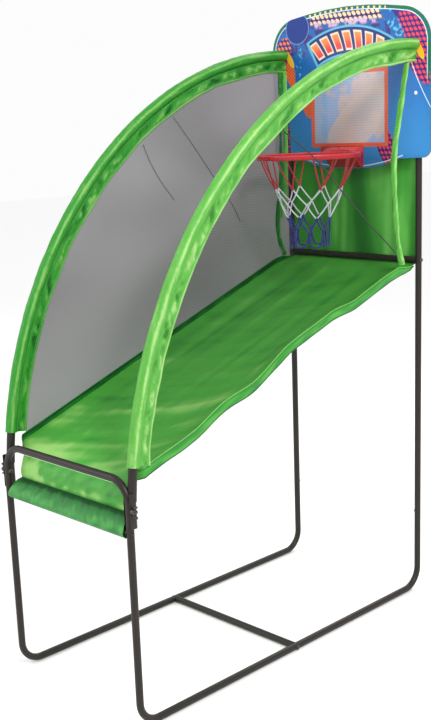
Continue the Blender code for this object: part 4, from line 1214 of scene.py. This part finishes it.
def knots_on_points():
    """Geometry Nodes: a small lumpy knot on every point, with its size as an input."""
    tree = bpy.data.node_groups.new("knots_on_points", "GeometryNodeTree")
    face = tree.interface
    face.new_socket("Points", in_out="INPUT", socket_type="NodeSocketGeometry")
    face.new_socket("Size", in_out="INPUT", socket_type="NodeSocketFloat")
    face.new_socket("Finish", in_out="INPUT", socket_type="NodeSocketMaterial")
    face.new_socket("Knots", in_out="OUTPUT", socket_type="NodeSocketGeometry")
    add = tree.nodes.new
    entry, leave = add("NodeGroupInput"), add("NodeGroupOutput")
    ball = add("GeometryNodeMeshIcoSphere")
    ball.inputs["Subdivisions"].default_value = 3
    spread = add("GeometryNodeInstanceOnPoints")
    turns = add("FunctionNodeRandomValue")
    turns.data_type = "FLOAT_VECTOR"
    turns.inputs[1].default_value = (6.28, 6.28, 6.28)
    turns.inputs["Seed"].default_value = 7
    squeeze = add("ShaderNodeCombineXYZ")
    for socket, share in zip(squeeze.inputs, (1.0, 0.8, 0.9)):
        socket.default_value = share
    real, paint_on = add("GeometryNodeRealizeInstances"), add("GeometryNodeSetMaterial")
    link = tree.links.new
    link(entry.outputs["Points"], spread.inputs["Points"])
    link(entry.outputs["Size"], ball.inputs["Radius"])
    link(ball.outputs["Mesh"], spread.inputs["Instance"])
    link(turns.outputs[0], spread.inputs["Rotation"])
    link(squeeze.outputs[0], spread.inputs["Scale"])
    link(spread.outputs[0], real.inputs[0])
    link(real.outputs[0], paint_on.inputs["Geometry"])
    link(entry.outputs["Finish"], paint_on.inputs["Material"])
    link(paint_on.outputs[0], leave.inputs[0])
    return tree


def modified(name, points, edges, tree, **values):
    """A mesh of points and edges put through a Geometry Nodes tree, as a plain mesh."""
    mesh = bpy.data.meshes.new(name)
    mesh.from_pydata([tuple(p) for p in points], edges, [])
    obj = bpy.data.objects.new(name + "_guide", mesh)
    bpy.context.scene.collection.objects.link(obj)
    modifier = obj.modifiers.new("nodes", "NODES")
    modifier.node_group = tree
    sockets = {item.name: item.identifier for item in tree.interface.items_tree if item.in_out == "INPUT"}
    for key, value in values.items():
        modifier[sockets[key]] = value
    result = plain_mesh(obj, name)
    result.data.shade_smooth()
    return result


knot_tree = knots_on_points()
for colour, paths, cord, cord_r, size in (("red", red, red_cord, 0.0019, 0.0040),
                                          ("white", white, white_cord, 0.0017, 0.0034),
                                          ("blue", blue, blue_cord, 0.0023, 0.0042)):
    strands = rod(f"net_{colour}_cords", paths, cord_r, 3)
    settle(strands, cord, ["net"])
    tied = modified(f"net_{colour}_knots", ties[colour], [], knot_tree, Size=size, Finish=cord.material)
    settle(tied, cord)


# ---- Stitching ------------------------------------------------------------------------------
# Lockstitch in matching green thread along the pockets and the bindings of the arch sleeves.
def stitch_row():
    """Geometry Nodes: short rounded stitches laid end to end along each edge path."""
    tree = bpy.data.node_groups.new("stitch_row", "GeometryNodeTree")
    face = tree.interface
    face.new_socket("Path", in_out="INPUT", socket_type="NodeSocketGeometry")
    for name in ("Pitch", "Length", "Thickness"):
        face.new_socket(name, in_out="INPUT", socket_type="NodeSocketFloat")
    face.new_socket("Finish", in_out="INPUT", socket_type="NodeSocketMaterial")
    face.new_socket("Stitches", in_out="OUTPUT", socket_type="NodeSocketGeometry")
    add, link = tree.nodes.new, tree.links.new
    entry, leave = add("NodeGroupInput"), add("NodeGroupOutput")
    to_curve, resample = add("GeometryNodeMeshToCurve"), add("GeometryNodeCurveToPoints")
    resample.mode = "LENGTH"
    stitch = add("GeometryNodeMeshCylinder")
    stitch.inputs["Vertices"].default_value = 6
    spread, real, paint_on = add("GeometryNodeInstanceOnPoints"), add("GeometryNodeRealizeInstances"), add(
        "GeometryNodeSetMaterial")
    link(entry.outputs["Path"], to_curve.inputs[0])
    link(to_curve.outputs[0], resample.inputs["Curve"])
    link(entry.outputs["Pitch"], resample.inputs["Length"])
    link(entry.outputs["Thickness"], stitch.inputs["Radius"])
    link(entry.outputs["Length"], stitch.inputs["Depth"])
    link(resample.outputs["Points"], spread.inputs["Points"])
    link(resample.outputs["Rotation"], spread.inputs["Rotation"])
    link(stitch.outputs["Mesh"], spread.inputs["Instance"])
    link(spread.outputs[0], real.inputs[0])
    link(real.outputs[0], paint_on.inputs["Geometry"])
    link(entry.outputs["Finish"], paint_on.inputs["Material"])
    link(paint_on.outputs[0], leave.inputs[0])
    return tree


thread = Shader("green_thread", Roughness=0.6)
ply = thread.grain(thread.place(), 900.0, 2.0)
thread.wear(Base_Color=thread.mix(ply, (0.10, 0.42, 0.06), (0.30, 0.72, 0.20)))
stitch_tree = stitch_row()


def stitches(name, paths):
    points, edges = [], []
    for path in paths:
        edges += [(len(points) + i, len(points) + i + 1) for i in range(len(path) - 1)]
        points += path
    sewn = modified(name, points, edges, stitch_tree, Pitch=0.0042, Length=0.0030, Thickness=0.00035,
                    Finish=thread.material)
    return settle(sewn, thread)


for side, sign in SIDES:
    seams = []
    for r, across in ((-0.0148, 0.0021), (-0.0345, 0.0016)):
        for face_side in (-1, 1):
            path = []
            for angle in sleeve_angles:
                moved_r, moved_x, _ = sleeve_wrinkle(SLEEVE_SEED[side], angle * arch_radius, r,
                                                     across * face_side)
                proud = moved_x + face_side * 0.0003
                lift = Vector((proud, -math.cos(angle) * moved_r, math.sin(angle) * moved_r))
                path.append(arch_point(angle, x=sign * half) + lift)
            seams.append(path)
    stitches(side + "_sleeve_stitches", seams)
